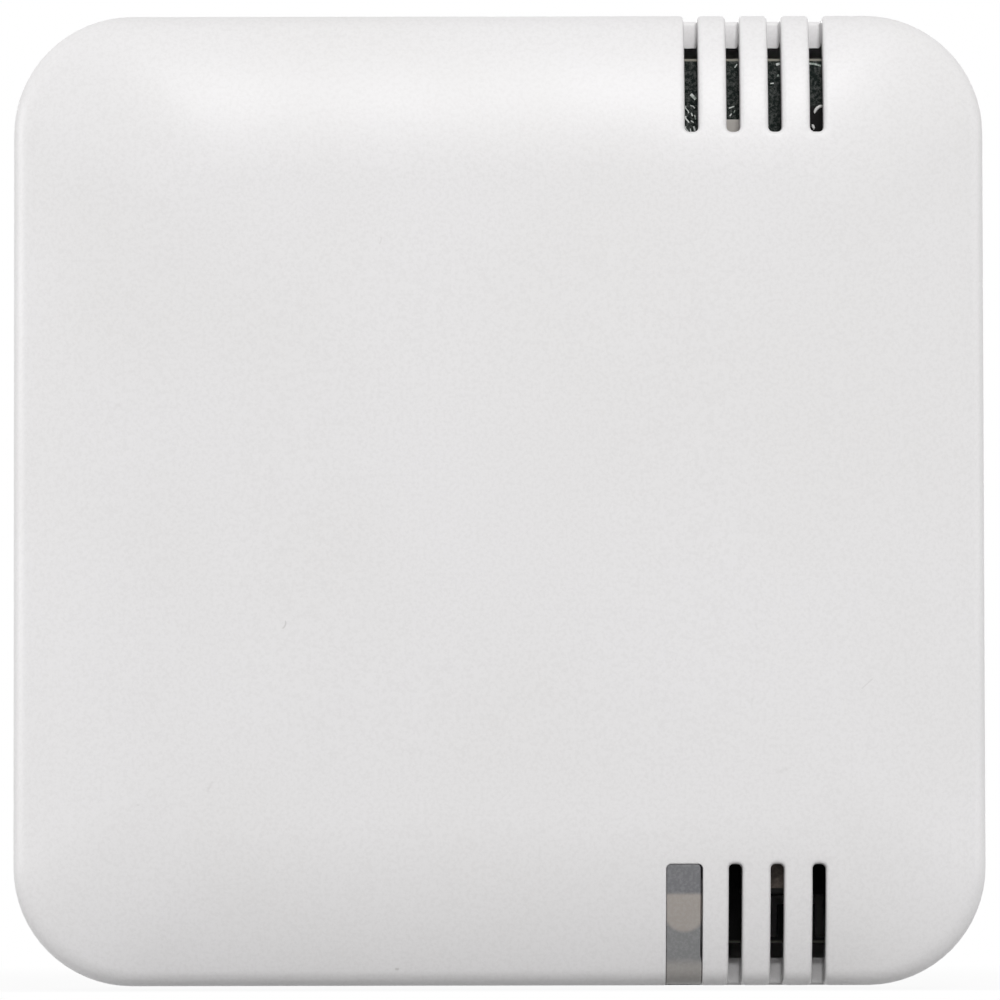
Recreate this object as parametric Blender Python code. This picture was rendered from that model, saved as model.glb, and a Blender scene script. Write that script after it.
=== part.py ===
"""Wall-mounted room temperature and humidity sensor with a cushion-shaped, vented cover.

The frame has X to the right and Z up as the front is looked at, and -Y out of the wall. The origin is
the middle of the wall face. Sizes are in metres, written as millimetres times MM.
"""

import math

import bmesh
import bpy

MM = 0.001

# Cover: a moulded shell whose crowned front rolls over into the sides
HOUSING_SIDE = 86.0 * MM
CORNER_RADIUS = 10.5 * MM
COVER_WALL = 2.4 * MM
SIDE_DRAFT = 0.2 * MM
CROWN_RISE = 0.4 * MM
BAND_WIDTH = 15.0 * MM
BAND_RADIUS = 32.0 * MM
BAND_CORNER_RADIUS = 5.0 * MM
EDGE_RADIUS = 2.5 * MM
LEAST_RADIUS = 0.3 * MM

# Vents, which run from the front over the edge and down the side
VENT_COUNT = 4
VENT_WIDTH = 1.2 * MM
VENT_PITCH = 3.67 * MM
VENT_LENGTH = 10.85 * MM
VENT_SIDE_INSET = 15.0 * MM
VENT_DEPTH = 11.0 * MM
VENT_END_RADIUS = 0.45 * MM

# Light window, which takes the place of the first lower vent
WINDOW_WIDTH = 3.2 * MM
WINDOW_SHIFT = 0.8 * MM
WINDOW_RECESS = 0.12 * MM
WINDOW_CLEARANCE = 0.12 * MM
WINDOW_FLANGE = 1.0 * MM
WINDOW_OVERLAP = 1.2 * MM

# Back plate
PLATE_THICKNESS = 2.0 * MM
PLATE_CHAMFER = 0.4 * MM
PARTING_GAP = 0.3 * MM
RIM_HEIGHT = 4.0 * MM
RIM_WALL = 1.2 * MM
RIM_CLEARANCE = 0.3 * MM
FIXING_INSET = 13.0 * MM
FIXING_CORNER_INSET = 15.0 * MM
FIXING_WIDTH = 3.8 * MM
FIXING_LENGTH = 7.0 * MM
FIXING_HEAD_WIDTH = 8.0 * MM
FIXING_HEAD_DEPTH = 0.7 * MM

# Snap hooks on the back plate, and the pockets that they spring into
HOOK_OFFSET = 14.0 * MM
HOOK_WIDTH = 8.0 * MM
HOOK_THICKNESS = 1.3 * MM
HOOK_BARB_RISE = 3.2 * MM
HOOK_BARB = 0.7 * MM
HOOK_LENGTH = 6.6 * MM
HOOK_CLEARANCE = 0.4 * MM
NOTCH_WIDTH = 7.0 * MM
NOTCH_HEIGHT = 1.3 * MM

# Circuit board and the posts that carry it
BOARD_THICKNESS = 1.6 * MM
BOARD_CLEARANCE = 0.2 * MM
BOARD_CORNER_RADIUS = 6.0 * MM
BOARD_HOLE_CLEARANCE = 0.35 * MM
SOLDER_GAP = 0.05 * MM
SEAT_GAP = 0.1 * MM
POST_INSET = 9.0 * MM
POST_WALL = 1.4 * MM
POST_TAPER = 0.5 * MM
PILOT_CLEARANCE = 0.1 * MM
PILOT_RUN_OUT = 0.4 * MM
GUSSET_THICKNESS = 1.0 * MM
GUSSET_DROP = 1.2 * MM
RIB_WIDTH = 1.2 * MM
RIB_OFFSET = 27.0 * MM
RIB_CLEARANCE = 0.3 * MM
RELIEF_WIDTH = 0.8 * MM

# Board screws
SCREW_LENGTH = 4.7 * MM
SCREW_RADIUS = 1.0 * MM
SCREW_HEAD_RADIUS = 2.0 * MM
SCREW_HEAD_HEIGHT = 1.4 * MM
SCREW_RECESS_REACH = 1.0 * MM
SCREW_RECESS_WIDTH = 0.5 * MM
SCREW_RECESS_DEPTH = 0.7 * MM

# Cells, holders and contacts
CELL_RADIUS = 7.25 * MM
CELL_LENGTH = 50.5 * MM
CELL_EDGE = 0.6 * MM
CELL_STANDOFF = 0.9 * MM
CELL_PLAY = 0.3 * MM
TERMINAL_RADIUS = 2.7 * MM
TERMINAL_HEIGHT = 1.5 * MM
HOLDER_WALL = 1.1 * MM
HOLDER_END = 1.3 * MM
HOLDER_GAP = 1.7 * MM
HOLDER_HEIGHT = 11.0 * MM
HOLDER_GRIP_LENGTH = 18.0 * MM
HOLDER_GRIP_DEPTH = 4.5 * MM
SPRING_SPACE = 4.6 * MM
SPRING_WIRE = 0.7 * MM
SPRING_TURNS = 3
SPRING_WIDE = 4.0 * MM
SPRING_NARROW = 2.4 * MM
CONTACT_SPACE = 1.4 * MM
CONTACT_THICKNESS = 0.4 * MM
CONTACT_SIDE = 9.0 * MM
CONTACT_BOSS = 0.35 * MM
CRADLE_OFFSET = 15.0 * MM
CRADLE_WIDTH = 1.2 * MM
CRADLE_CLEARANCE = 0.7 * MM

# Parts on the board, where a SIZE is a width, a height and a thickness
CHIP_BEVEL = 0.1 * MM
CHIP_GAP = 3.5 * MM
CAPACITOR_RADIUS = 3.2 * MM
CAPACITOR_HEIGHT = 2.6 * MM
CAPACITOR_BASE = 0.7 * MM
CAPACITOR_BASE_BEVEL = 0.3 * MM
CAPACITOR_CLEARANCE = 0.3 * MM
CAPACITOR_EDGE_INSET = 11.4 * MM
SENSOR_SIDE = 2.5 * MM
SENSOR_HEIGHT = 0.9 * MM
SENSOR_PORT = 0.5 * MM
SENSOR_EDGE_INSET = 0.5 * MM
EYE_RADIUS = 1.6 * MM
EYE_CLEARANCE = 0.4 * MM
EYE_EDGE_INSET = 3.2 * MM
MODULE_SIDE = 12.0 * MM
MODULE_THICKNESS = 0.8 * MM
MODULE_INSET = 21.0 * MM
SHIELD_SIDE = 10.8 * MM
SHIELD_HEIGHT = 2.0 * MM
SHIELD_BEVEL = 0.3 * MM
AERIAL_RADIUS = 2.6 * MM
AERIAL_WIRE = 0.8 * MM
AERIAL_PITCH = 2.3 * MM
AERIAL_TURNS = 9
AERIAL_INSET = 15.3 * MM
FILTER_SIZE = (3.2 * MM, 2.6 * MM, 1.6 * MM)
FILTER_RISE = 0.1 * MM
MONITOR_SIZE = (2.9 * MM, 2.6 * MM, 1.0 * MM)
MONITOR_RISE = 1.3 * MM
BYPASS_SIZE = (1.6 * MM, 0.8 * MM, 0.8 * MM)
BYPASS_DROP = 3.0 * MM
LED_SIZE = (1.6 * MM, 0.8 * MM, 0.6 * MM)
LED_DROP = 1.5 * MM
CHOKE_SIZE = (4.0 * MM, 4.0 * MM, 1.8 * MM)
REGULATOR_SIZE = (3.0 * MM, 1.7 * MM, 1.1 * MM)
TAG_SIZE = (3.0 * MM, 3.0 * MM, 0.8 * MM)
PROCESSOR_SIZE = (7.0 * MM, 7.0 * MM, 1.0 * MM)
MEMORY_SIZE = (5.0 * MM, 4.0 * MM, 1.4 * MM)
CRYSTAL_SIZE = (3.2 * MM, 1.5 * MM, 0.8 * MM)

# Meshing
CORNER_STEPS = 8
CROWN_STEPS = 3
CROWN_START = 0.04
BAND_STEPS = 8
EDGE_STEPS = 5
TURN_STEPS = 24
SLOT_STEPS = 4
SHARP_ANGLE = math.radians(30)
OVERRUN = 1.0 * MM

# Worked out from the sizes above
HALF_SIDE = HOUSING_SIDE / 2
CROWN_RUN = HALF_SIDE - BAND_WIDTH
CROWN_SLOPE = math.atan(2 * CROWN_RISE / CROWN_RUN)
BAND_CENTRE_INSET = BAND_WIDTH + BAND_RADIUS * math.sin(CROWN_SLOPE)
BAND_CENTRE_DROP = CROWN_RISE + BAND_RADIUS * math.cos(CROWN_SLOPE)


def band_drop(inset, offset):
    """How far the band, moved in by offset, lies behind the middle of the front at this inset."""
    return BAND_CENTRE_DROP - math.sqrt((BAND_RADIUS - offset) ** 2 - (BAND_CENTRE_INSET - inset) ** 2)


FRONT_ROOM = (
    band_drop(CAPACITOR_EDGE_INSET - CAPACITOR_RADIUS, COVER_WALL)
    + CAPACITOR_HEIGHT
    + CAPACITOR_CLEARANCE
)
BOARD_BACK_Y = -(PLATE_THICKNESS + CELL_PLAY + 2 * CELL_RADIUS + CELL_STANDOFF)
BOARD_FRONT_Y = BOARD_BACK_Y - BOARD_THICKNESS
FRONT_Y = BOARD_FRONT_Y - FRONT_ROOM
COVER_RIM_Y = -(PLATE_THICKNESS + PARTING_GAP)
INNER_HALF = HALF_SIDE - COVER_WALL
BOARD_HALF = INNER_HALF - SIDE_DRAFT - WINDOW_CLEARANCE - WINDOW_FLANGE - BOARD_CLEARANCE
RIM_HALF = INNER_HALF - RIM_CLEARANCE
VENT_LEDGE_Y = FRONT_Y + VENT_DEPTH
VENT_END_Z = HALF_SIDE - VENT_LENGTH
VENT_XS = [
    HALF_SIDE - VENT_SIDE_INSET - VENT_PITCH * (VENT_COUNT - 1 - place)
    for place in range(VENT_COUNT)
]
WINDOW_X = VENT_XS[0] - WINDOW_SHIFT
POST_XZ = HALF_SIDE - POST_INSET
PILOT_RADIUS = SCREW_RADIUS + PILOT_CLEARANCE
PILOT_DEPTH = SCREW_LENGTH - BOARD_THICKNESS + PILOT_RUN_OUT
POST_TIP_RADIUS = PILOT_RADIUS + POST_WALL
POST_FOOT_RADIUS = POST_TIP_RADIUS + POST_TAPER
CELL_Y = BOARD_BACK_Y + CELL_STANDOFF + CELL_RADIUS
CHANNEL_RADIUS = CELL_RADIUS + CELL_PLAY
CELL_PITCH = 2 * (CHANNEL_RADIUS + HOLDER_WALL) + HOLDER_GAP
HOLDER_REACH = CELL_PITCH / 2 + CHANNEL_RADIUS + HOLDER_WALL
HOLDER_TOP_Y = BOARD_BACK_Y + HOLDER_HEIGHT
STRIP_Z = (HOLDER_REACH + BOARD_HALF) / 2
EYE_Z = -(BOARD_HALF - EYE_EDGE_INSET)
WINDOW_DROP = band_drop(HALF_SIDE + EYE_Z, COVER_WALL + WINDOW_CLEARANCE + WINDOW_FLANGE)
EYE_HEIGHT = FRONT_ROOM - SOLDER_GAP - WINDOW_DROP - EYE_CLEARANCE


def clear_scene():
    for obj in list(bpy.data.objects):
        bpy.data.objects.remove(obj)


def finish(name, colour, roughness, metallic=0.0, alpha=1.0):
    """A plain Principled material with the given linear colour."""
    material = bpy.data.materials.new(name)
    material.use_nodes = True
    shader = material.node_tree.nodes["Principled BSDF"]
    shader.inputs["Base Color"].default_value = (*colour, 1.0)
    shader.inputs["Roughness"].default_value = roughness
    shader.inputs["Metallic"].default_value = metallic
    shader.inputs["Alpha"].default_value = alpha
    return material


# Shape helpers


def loft(rings):
    """A closed skin through rings of equally many points, with the first and last ring capped."""
    bm = bmesh.new()
    loops = [[bm.verts.new(point) for point in ring] for ring in rings]
    count = len(rings[0])
    for first, second in zip(loops, loops[1:]):
        for i in range(count):
            j = (i + 1) % count
            bm.faces.new((first[i], first[j], second[j], second[i]))
    bm.faces.new(loops[0])
    bm.faces.new(loops[-1])
    bmesh.ops.recalc_face_normals(bm, faces=bm.faces)
    return bm


def rounded_square(half, radius, y):
    """A square ring in the plane at y, with round corners."""
    ring = []
    for quarter in range(4):
        side_x = 1 if quarter in (0, 3) else -1
        side_z = 1 if quarter in (0, 1) else -1
        for step in range(CORNER_STEPS + 1):
            angle = (quarter + step / CORNER_STEPS) * math.pi / 2
            x = side_x * (half - radius) + radius * math.cos(angle)
            z = side_z * (half - radius) + radius * math.sin(angle)
            ring.append((x, y, z))
    return ring


def prism_y(outline, first_y, last_y):
    """An outline of (x, z) points carried along Y."""
    return loft([[(x, y, z) for x, z in outline] for y in (first_y, last_y)])


def prism_x(outline, first_x, last_x):
    """An outline of (y, z) points carried along X."""
    return loft([[(x, y, z) for y, z in outline] for x in (first_x, last_x)])


def box(low, high):
    outline = [(low[0], low[2]), (high[0], low[2]), (high[0], high[2]), (low[0], high[2])]
    return prism_y(outline, low[1], high[1])


def circle(centre_x, centre_z, radius, steps=TURN_STEPS):
    angles = [2 * math.pi * step / steps for step in range(steps)]
    return [(centre_x + radius * math.cos(a), centre_z + radius * math.sin(a)) for a in angles]


def slot_outline(centre_x, width, inner_z, outer_z, radius):
    """An upright slot: square at outer_z, and with rounded corners at inner_z."""
    way = math.copysign(1, outer_z - inner_z)
    half = width / 2
    points = [(centre_x - half, outer_z)]
    for side in (-1, 1):
        for step in range(SLOT_STEPS + 1):
            turn = step / SLOT_STEPS * math.pi / 2
            angle = turn if side < 0 else math.pi / 2 - turn
            x = centre_x + side * (half - radius + radius * math.cos(angle))
            points.append((x, inner_z + way * radius * (1 - math.sin(angle))))
    points.append((centre_x + half, outer_z))
    return points


def obround(centre_x, centre_z, width, length):
    """A slot with round ends, lying along X."""
    radius = width / 2
    reach = (length - width) / 2
    points = []
    for side in (1, -1):
        for step in range(2 * SLOT_STEPS + 1):
            angle = side * (step / (2 * SLOT_STEPS) - 0.5) * math.pi
            x = centre_x + side * (reach + radius * math.cos(angle))
            points.append((x, centre_z + radius * math.sin(angle)))
    return points


# Object helpers


def add_object(name, bm, material):
    mesh = bpy.data.meshes.new(name)
    bm.to_mesh(mesh)
    bm.free()
    obj = bpy.data.objects.new(name, mesh)
    bpy.context.scene.collection.objects.link(obj)
    if material:
        mesh.materials.append(material)
    return obj


def add_helper(name, bm):
    """A cutter or a blank, which isn't a piece of the sensor."""
    obj = add_object("helper_" + name, bm, None)
    obj.hide_render = True
    obj.display_type = "WIRE"
    return obj


def combine(obj, other, operation):
    modifier = obj.modifiers.new(operation.lower() + "_" + other.name, "BOOLEAN")
    modifier.operation = operation
    modifier.object = other
    modifier.solver = "EXACT"


def cut(obj, name, bm):
    combine(obj, add_helper(name, bm), "DIFFERENCE")


def settle():
    """Applies the modifiers, shades every piece smooth up to its sharp edges, and drops the helpers."""
    graph = bpy.context.evaluated_depsgraph_get()
    pieces = [obj for obj in bpy.data.objects if obj.type == "MESH" and not obj.hide_render]
    shapes = [bpy.data.meshes.new_from_object(obj.evaluated_get(graph)) for obj in pieces]
    for obj, mesh in zip(pieces, shapes):
        obj.modifiers.clear()
        obj.data = mesh
        mesh.name = obj.name
        mesh.shade_smooth()
        mesh.set_sharp_from_angle(angle=SHARP_ANGLE)
    for obj in list(bpy.data.objects):
        if obj.hide_render:
            bpy.data.objects.remove(obj)


def turned(name, profile, material, steps=TURN_STEPS):
    """A piece turned about its own Z axis from (radius, height) points that run from top to bottom."""
    mesh = bpy.data.meshes.new(name)
    points = [(radius, 0, height) for radius, height in profile]
    edges = [(i, i + 1) for i in range(len(points) - 1)]
    mesh.from_pydata(points, edges, [])
    mesh.materials.append(material)
    obj = bpy.data.objects.new(name, mesh)
    bpy.context.scene.collection.objects.link(obj)
    screw = obj.modifiers.new("turn", "SCREW")
    screw.steps = screw.render_steps = steps
    screw.use_merge_vertices = True
    screw.merge_threshold = 0.01 * MM
    screw.use_smooth_shade = True
    return obj


def wire(name, points, diameter, material):
    curve = bpy.data.curves.new(name, "CURVE")
    curve.dimensions = "3D"
    curve.bevel_depth = diameter / 2
    curve.bevel_resolution = 1
    curve.use_fill_caps = True
    spline = curve.splines.new("POLY")
    spline.points.add(len(points) - 1)
    for target, point in zip(spline.points, points):
        target.co = (*point, 1)
    curve.materials.append(material)
    obj = bpy.data.objects.new(name, curve)
    bpy.context.scene.collection.objects.link(obj)
    return obj


# Cover surface


def outer_corner_radius(inset):
    """Corner radius where the cover's outer surface lies this far in from its sides."""
    if inset < BAND_WIDTH:
        share = inset / BAND_WIDTH
        return CORNER_RADIUS + (BAND_CORNER_RADIUS - CORNER_RADIUS) * share
    return BAND_CORNER_RADIUS * (HALF_SIDE - inset) / CROWN_RUN


def cover_rings(offset, rim_y):
    """Rings from the middle of the front to the rim, on the outer surface moved in by offset."""
    band_radius = BAND_RADIUS - offset
    edge_radius = max(EDGE_RADIUS - offset, LEAST_RADIUS)
    edge_inset = SIDE_DRAFT + offset + edge_radius
    reach = band_radius - edge_radius
    end_slope = math.asin((BAND_CENTRE_INSET - edge_inset) / reach)
    edge_y = FRONT_Y + BAND_CENTRE_DROP - reach * math.cos(end_slope)
    stations = []
    for step in range(CROWN_STEPS + 1):
        share = CROWN_START + (1 - CROWN_START) * step / CROWN_STEPS
        slope = share * CROWN_SLOPE
        inset = HALF_SIDE - share * CROWN_RUN + offset * math.sin(slope)
        stations.append((inset, FRONT_Y + CROWN_RISE * share**2 + offset * math.cos(slope), slope))
    for step in range(1, BAND_STEPS + 1):
        slope = CROWN_SLOPE + (end_slope - CROWN_SLOPE) * step / BAND_STEPS
        inset = BAND_CENTRE_INSET - band_radius * math.sin(slope)
        stations.append((inset, FRONT_Y + BAND_CENTRE_DROP - band_radius * math.cos(slope), slope))
    for step in range(1, EDGE_STEPS + 1):
        slope = end_slope + (math.pi / 2 - end_slope) * step / EDGE_STEPS
        inset = edge_inset - edge_radius * math.sin(slope)
        stations.append((inset, edge_y - edge_radius * math.cos(slope), slope))
    stations.append((offset, rim_y, math.pi / 2))
    rings = []
    for inset, y, slope in stations:
        moved = offset * math.sin(slope)
        radius = max(outer_corner_radius(inset - moved) - moved, LEAST_RADIUS)
        rings.append(rounded_square(HALF_SIDE - inset, radius, y))
    return rings


def cover_skin(outer_offset, inner_offset, rim_y):
    """The shell between two offsets of the cover's outer surface, open at the rim."""
    return loft(cover_rings(outer_offset, rim_y) + cover_rings(inner_offset, rim_y)[::-1])


# Cover


def cover_posts():
    """Posts for the board screws, each with two gussets to the side walls."""
    post_tip_y = BOARD_FRONT_Y - SEAT_GAP
    gusset_y = post_tip_y - GUSSET_DROP
    half = GUSSET_THICKNESS / 2
    for way_x in (-1, 1):
        for way_z in (-1, 1):
            x, z = way_x * POST_XZ, way_z * POST_XZ
            tip = [(px, post_tip_y, pz) for px, pz in circle(x, z, POST_TIP_RADIUS)]
            foot = [(px, FRONT_Y, pz) for px, pz in circle(x, z, POST_FOOT_RADIUS)]
            yield loft([foot, tip])
            out_x, out_z = way_x * HALF_SIDE, way_z * HALF_SIDE
            yield box((min(x, out_x), FRONT_Y, z - half), (max(x, out_x), gusset_y, z + half))
            yield box((x - half, FRONT_Y, min(z, out_z)), (x + half, gusset_y, max(z, out_z)))


def cover_ribs():
    """Short ribs on the left and right walls that keep the board in the middle."""
    inner_x = BOARD_HALF + RIB_CLEARANCE
    half = RIB_WIDTH / 2
    for way in (-1, 1):
        for z in (-RIB_OFFSET, 0, RIB_OFFSET):
            low_x, high_x = sorted((way * inner_x, way * HALF_SIDE))
            yield box((low_x, FRONT_Y, z - half), (high_x, BOARD_BACK_Y, z + half))


def vent_slots(top):
    """Outlines of the vents above, or of the light window and the vents below."""
    way = 1 if top else -1
    inner_z, outer_z = way * VENT_END_Z, way * (HALF_SIDE + OVERRUN)
    slots = [(x, VENT_WIDTH) for x in VENT_XS]
    if not top:
        slots[0] = (WINDOW_X, WINDOW_WIDTH)
    return [slot_outline(x, width, inner_z, outer_z, VENT_END_RADIUS) for x, width in slots]


def make_cover(material):
    cover = add_object("front_cover", cover_skin(0, COVER_WALL, COVER_RIM_Y), material)
    mid_skin = add_helper("mid_skin", loft(cover_rings(COVER_WALL / 2, COVER_RIM_Y)))
    for number, feature in enumerate([*cover_posts(), *cover_ribs()]):
        blank = add_helper(f"cover_feature_{number}", feature)
        combine(blank, mid_skin, "INTERSECT")
        combine(cover, blank, "UNION")
    for top in (True, False):
        for place, outline in enumerate(vent_slots(top)):
            slot = prism_y(outline, FRONT_Y - OVERRUN, VENT_LEDGE_Y)
            cut(cover, f"vent_{'top' if top else 'bottom'}_{place}", slot)
    pilot_end_y = BOARD_FRONT_Y - PILOT_DEPTH
    for way_x in (-1, 1):
        for way_z in (-1, 1):
            outline = circle(way_x * POST_XZ, way_z * POST_XZ, PILOT_RADIUS, TURN_STEPS // 2)
            cut(cover, f"pilot_{way_x}_{way_z}", prism_y(outline, pilot_end_y, BOARD_FRONT_Y + OVERRUN))
    low_y = -(PLATE_THICKNESS + HOOK_BARB_RISE + HOOK_BARB * 3 + HOOK_CLEARANCE)
    high_y = -(PLATE_THICKNESS + HOOK_BARB_RISE - HOOK_CLEARANCE)
    depth = RIM_HALF + HOOK_BARB + HOOK_CLEARANCE
    half = HOOK_WIDTH / 2 + HOOK_CLEARANCE
    for way in (-1, 1):
        for z in (-HOOK_OFFSET, HOOK_OFFSET):
            low_x, high_x = sorted((way * depth, way * (RIM_HALF - OVERRUN)))
            pocket = box((low_x, low_y, z - half), (high_x, high_y, z + half))
            cut(cover, f"pocket_{way}_{z:.3f}", pocket)
    notch_low = (-NOTCH_WIDTH / 2, COVER_RIM_Y - NOTCH_HEIGHT, -HALF_SIDE - OVERRUN)
    notch_high = (NOTCH_WIDTH / 2, COVER_RIM_Y + OVERRUN, -RIM_HALF)
    cut(cover, "release_notch", box(notch_low, notch_high))
    return cover


# Light window


def make_window(material):
    """The plug that fills the wide slot over the edge, on a flange that lies inside the cover."""
    inner_z, outer_z = -VENT_END_Z, -(HALF_SIDE + OVERRUN)
    plug_outline = slot_outline(
        WINDOW_X,
        WINDOW_WIDTH - 2 * WINDOW_CLEARANCE,
        inner_z - WINDOW_CLEARANCE,
        outer_z,
        VENT_END_RADIUS - WINDOW_CLEARANCE,
    )
    flange_outline = slot_outline(
        WINDOW_X,
        WINDOW_WIDTH + 2 * WINDOW_OVERLAP,
        inner_z + WINDOW_OVERLAP,
        outer_z,
        VENT_END_RADIUS,
    )
    seat = COVER_WALL + WINDOW_CLEARANCE
    plug_end_y = VENT_LEDGE_Y - WINDOW_CLEARANCE
    skin = cover_skin(WINDOW_RECESS, seat + WINDOW_FLANGE / 2, COVER_RIM_Y)
    window = add_object("light_window", skin, material)
    plug = add_helper("window_plug", prism_y(plug_outline, FRONT_Y - OVERRUN, plug_end_y))
    combine(window, plug, "INTERSECT")
    flange = add_helper("window_flange", cover_skin(seat, seat + WINDOW_FLANGE, COVER_RIM_Y))
    reach = prism_y(flange_outline, FRONT_Y - OVERRUN, VENT_LEDGE_Y + WINDOW_OVERLAP)
    combine(flange, add_helper("window_flange_reach", reach), "INTERSECT")
    combine(window, flange, "UNION")
    return window


# Back plate


def plate_hook(way, centre_z):
    """One cantilever hook: a flat spring arm with a barb that faces the side wall."""
    inner, outer = RIM_HALF - HOOK_THICKNESS, RIM_HALF
    barb_y = -(PLATE_THICKNESS + HOOK_BARB_RISE)
    tip_y = -(PLATE_THICKNESS + HOOK_LENGTH)
    outline = [
        (inner, -PLATE_THICKNESS / 2),
        (outer, -PLATE_THICKNESS / 2),
        (outer, barb_y),
        (outer + HOOK_BARB, barb_y - HOOK_BARB),
        (outer + HOOK_BARB, barb_y - 1.5 * HOOK_BARB),
        (outer - HOOK_BARB / 2, tip_y),
        (inner, tip_y),
    ]
    ends = [centre_z - HOOK_WIDTH / 2, centre_z + HOOK_WIDTH / 2]
    return loft([[(way * x, y, z) for x, y in outline] for z in ends])


def plate_cradles():
    """Ribs whose hollow edges keep the cells down in their holders."""
    foot_y, top_y = -PLATE_THICKNESS / 2, HOLDER_TOP_Y + CRADLE_CLEARANCE
    reach = CELL_PITCH / 2 + CELL_RADIUS + CELL_PLAY
    for x in (-CRADLE_OFFSET, CRADLE_OFFSET):
        low, high = x - CRADLE_WIDTH / 2, x + CRADLE_WIDTH / 2
        yield x, box((low, top_y, -reach), (high, foot_y, reach))


def make_plate(material):
    corner = CORNER_RADIUS - COVER_WALL - RIM_CLEARANCE
    rim_top_y = -(PLATE_THICKNESS + RIM_HEIGHT)
    plate = add_object(
        "back_plate",
        loft(
            [
                rounded_square(HALF_SIDE - PLATE_CHAMFER, CORNER_RADIUS - PLATE_CHAMFER, 0),
                rounded_square(HALF_SIDE, CORNER_RADIUS, -PLATE_CHAMFER),
                rounded_square(HALF_SIDE, CORNER_RADIUS, -PLATE_THICKNESS),
                rounded_square(RIM_HALF, corner, -PLATE_THICKNESS),
                rounded_square(RIM_HALF, corner, rim_top_y),
                rounded_square(RIM_HALF - RIM_WALL, corner - RIM_WALL, rim_top_y),
                rounded_square(RIM_HALF - RIM_WALL, corner - RIM_WALL, -PLATE_THICKNESS),
            ]
        ),
        material,
    )
    stub_y = -(PLATE_THICKNESS + PARTING_GAP)
    clear_y = rim_top_y - OVERRUN
    half = HOOK_WIDTH / 2 + OVERRUN
    for way in (-1, 1):
        for z in (-HOOK_OFFSET, HOOK_OFFSET):
            low_x, high_x = sorted((way * (RIM_HALF - RIM_WALL - OVERRUN), way * (RIM_HALF + OVERRUN)))
            gap = box((low_x, clear_y, z - half), (high_x, stub_y, z + half))
            cut(plate, f"hook_gap_{way}_{z:.3f}", gap)
            hook = add_helper(f"hook_{way}_{z:.3f}", plate_hook(way, z))
            combine(plate, hook, "UNION")
    vent_low = WINDOW_X - WINDOW_WIDTH / 2 - WINDOW_OVERLAP - OVERRUN
    vent_high = VENT_XS[-1] + VENT_WIDTH
    for way in (-1, 1):
        low_z, high_z = sorted((way * (RIM_HALF - RIM_WALL - OVERRUN), way * (RIM_HALF + OVERRUN)))
        gap = box((vent_low, clear_y, low_z), (vent_high, stub_y, high_z))
        cut(plate, f"air_gap_{way}", gap)
    for x, blank in plate_cradles():
        cradle = add_helper(f"cradle_{x:.3f}", blank)
        for centre_z in (-CELL_PITCH / 2, CELL_PITCH / 2):
            outline = circle(CELL_Y, centre_z, CELL_RADIUS + 2 * CELL_PLAY)
            channel = prism_x(outline, x - CRADLE_WIDTH, x + CRADLE_WIDTH)
            cut(cradle, f"cradle_channel_{x:.3f}_{centre_z:.3f}", channel)
        combine(plate, cradle, "UNION")
    middle_z, corner_x = HALF_SIDE - FIXING_INSET, HALF_SIDE - FIXING_CORNER_INSET
    head_y = -(PLATE_THICKNESS - FIXING_HEAD_DEPTH)
    play = FIXING_HEAD_WIDTH - FIXING_WIDTH
    for way_z in (-1, 1):
        for column, length in ((-1, FIXING_WIDTH), (0, FIXING_LENGTH), (1, FIXING_WIDTH)):
            x, z = column * corner_x, way_z * middle_z
            name = f"{column}_{way_z}"
            hole = prism_y(obround(x, z, FIXING_WIDTH, length), -PLATE_THICKNESS - OVERRUN, OVERRUN)
            cut(plate, "fixing_" + name, hole)
            seat = obround(x, z, FIXING_HEAD_WIDTH, length + play)
            cut(plate, "fixing_seat_" + name, prism_y(seat, -PLATE_THICKNESS - OVERRUN, head_y))
    return plate


# Circuit board


def sensor_place():
    """(x, z) of the humidity sensor, behind the rib between the last two lower vents."""
    x = (VENT_XS[-2] + VENT_XS[-1]) / 2
    return x, -(BOARD_HALF - SENSOR_EDGE_INSET - SENSOR_SIDE / 2)


def relief_outline():
    """The gap milled round three sides of the humidity sensor, which keeps heat away from it."""
    x, z = sensor_place()
    near = SENSOR_SIDE / 2 + RELIEF_WIDTH / 2
    far = near + RELIEF_WIDTH
    foot = z - SENSOR_SIDE / 2
    return [
        (x - far, foot),
        (x - near, foot),
        (x - near, z + near),
        (x + near, z + near),
        (x + near, foot),
        (x + far, foot),
        (x + far, z + far),
        (x - far, z + far),
    ]


def make_board(material):
    rings = [rounded_square(BOARD_HALF, BOARD_CORNER_RADIUS, y) for y in (BOARD_FRONT_Y, BOARD_BACK_Y)]
    board = add_object("circuit_board", loft(rings), material)
    low_y, high_y = BOARD_FRONT_Y - OVERRUN, BOARD_BACK_Y + OVERRUN
    hole_radius = SCREW_RADIUS + BOARD_HOLE_CLEARANCE
    for way_x in (-1, 1):
        for way_z in (-1, 1):
            outline = circle(way_x * POST_XZ, way_z * POST_XZ, hole_radius, TURN_STEPS // 2)
            cut(board, f"board_hole_{way_x}_{way_z}", prism_y(outline, low_y, high_y))
    cut(board, "relief", prism_y(relief_outline(), low_y, high_y))
    return board


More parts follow.
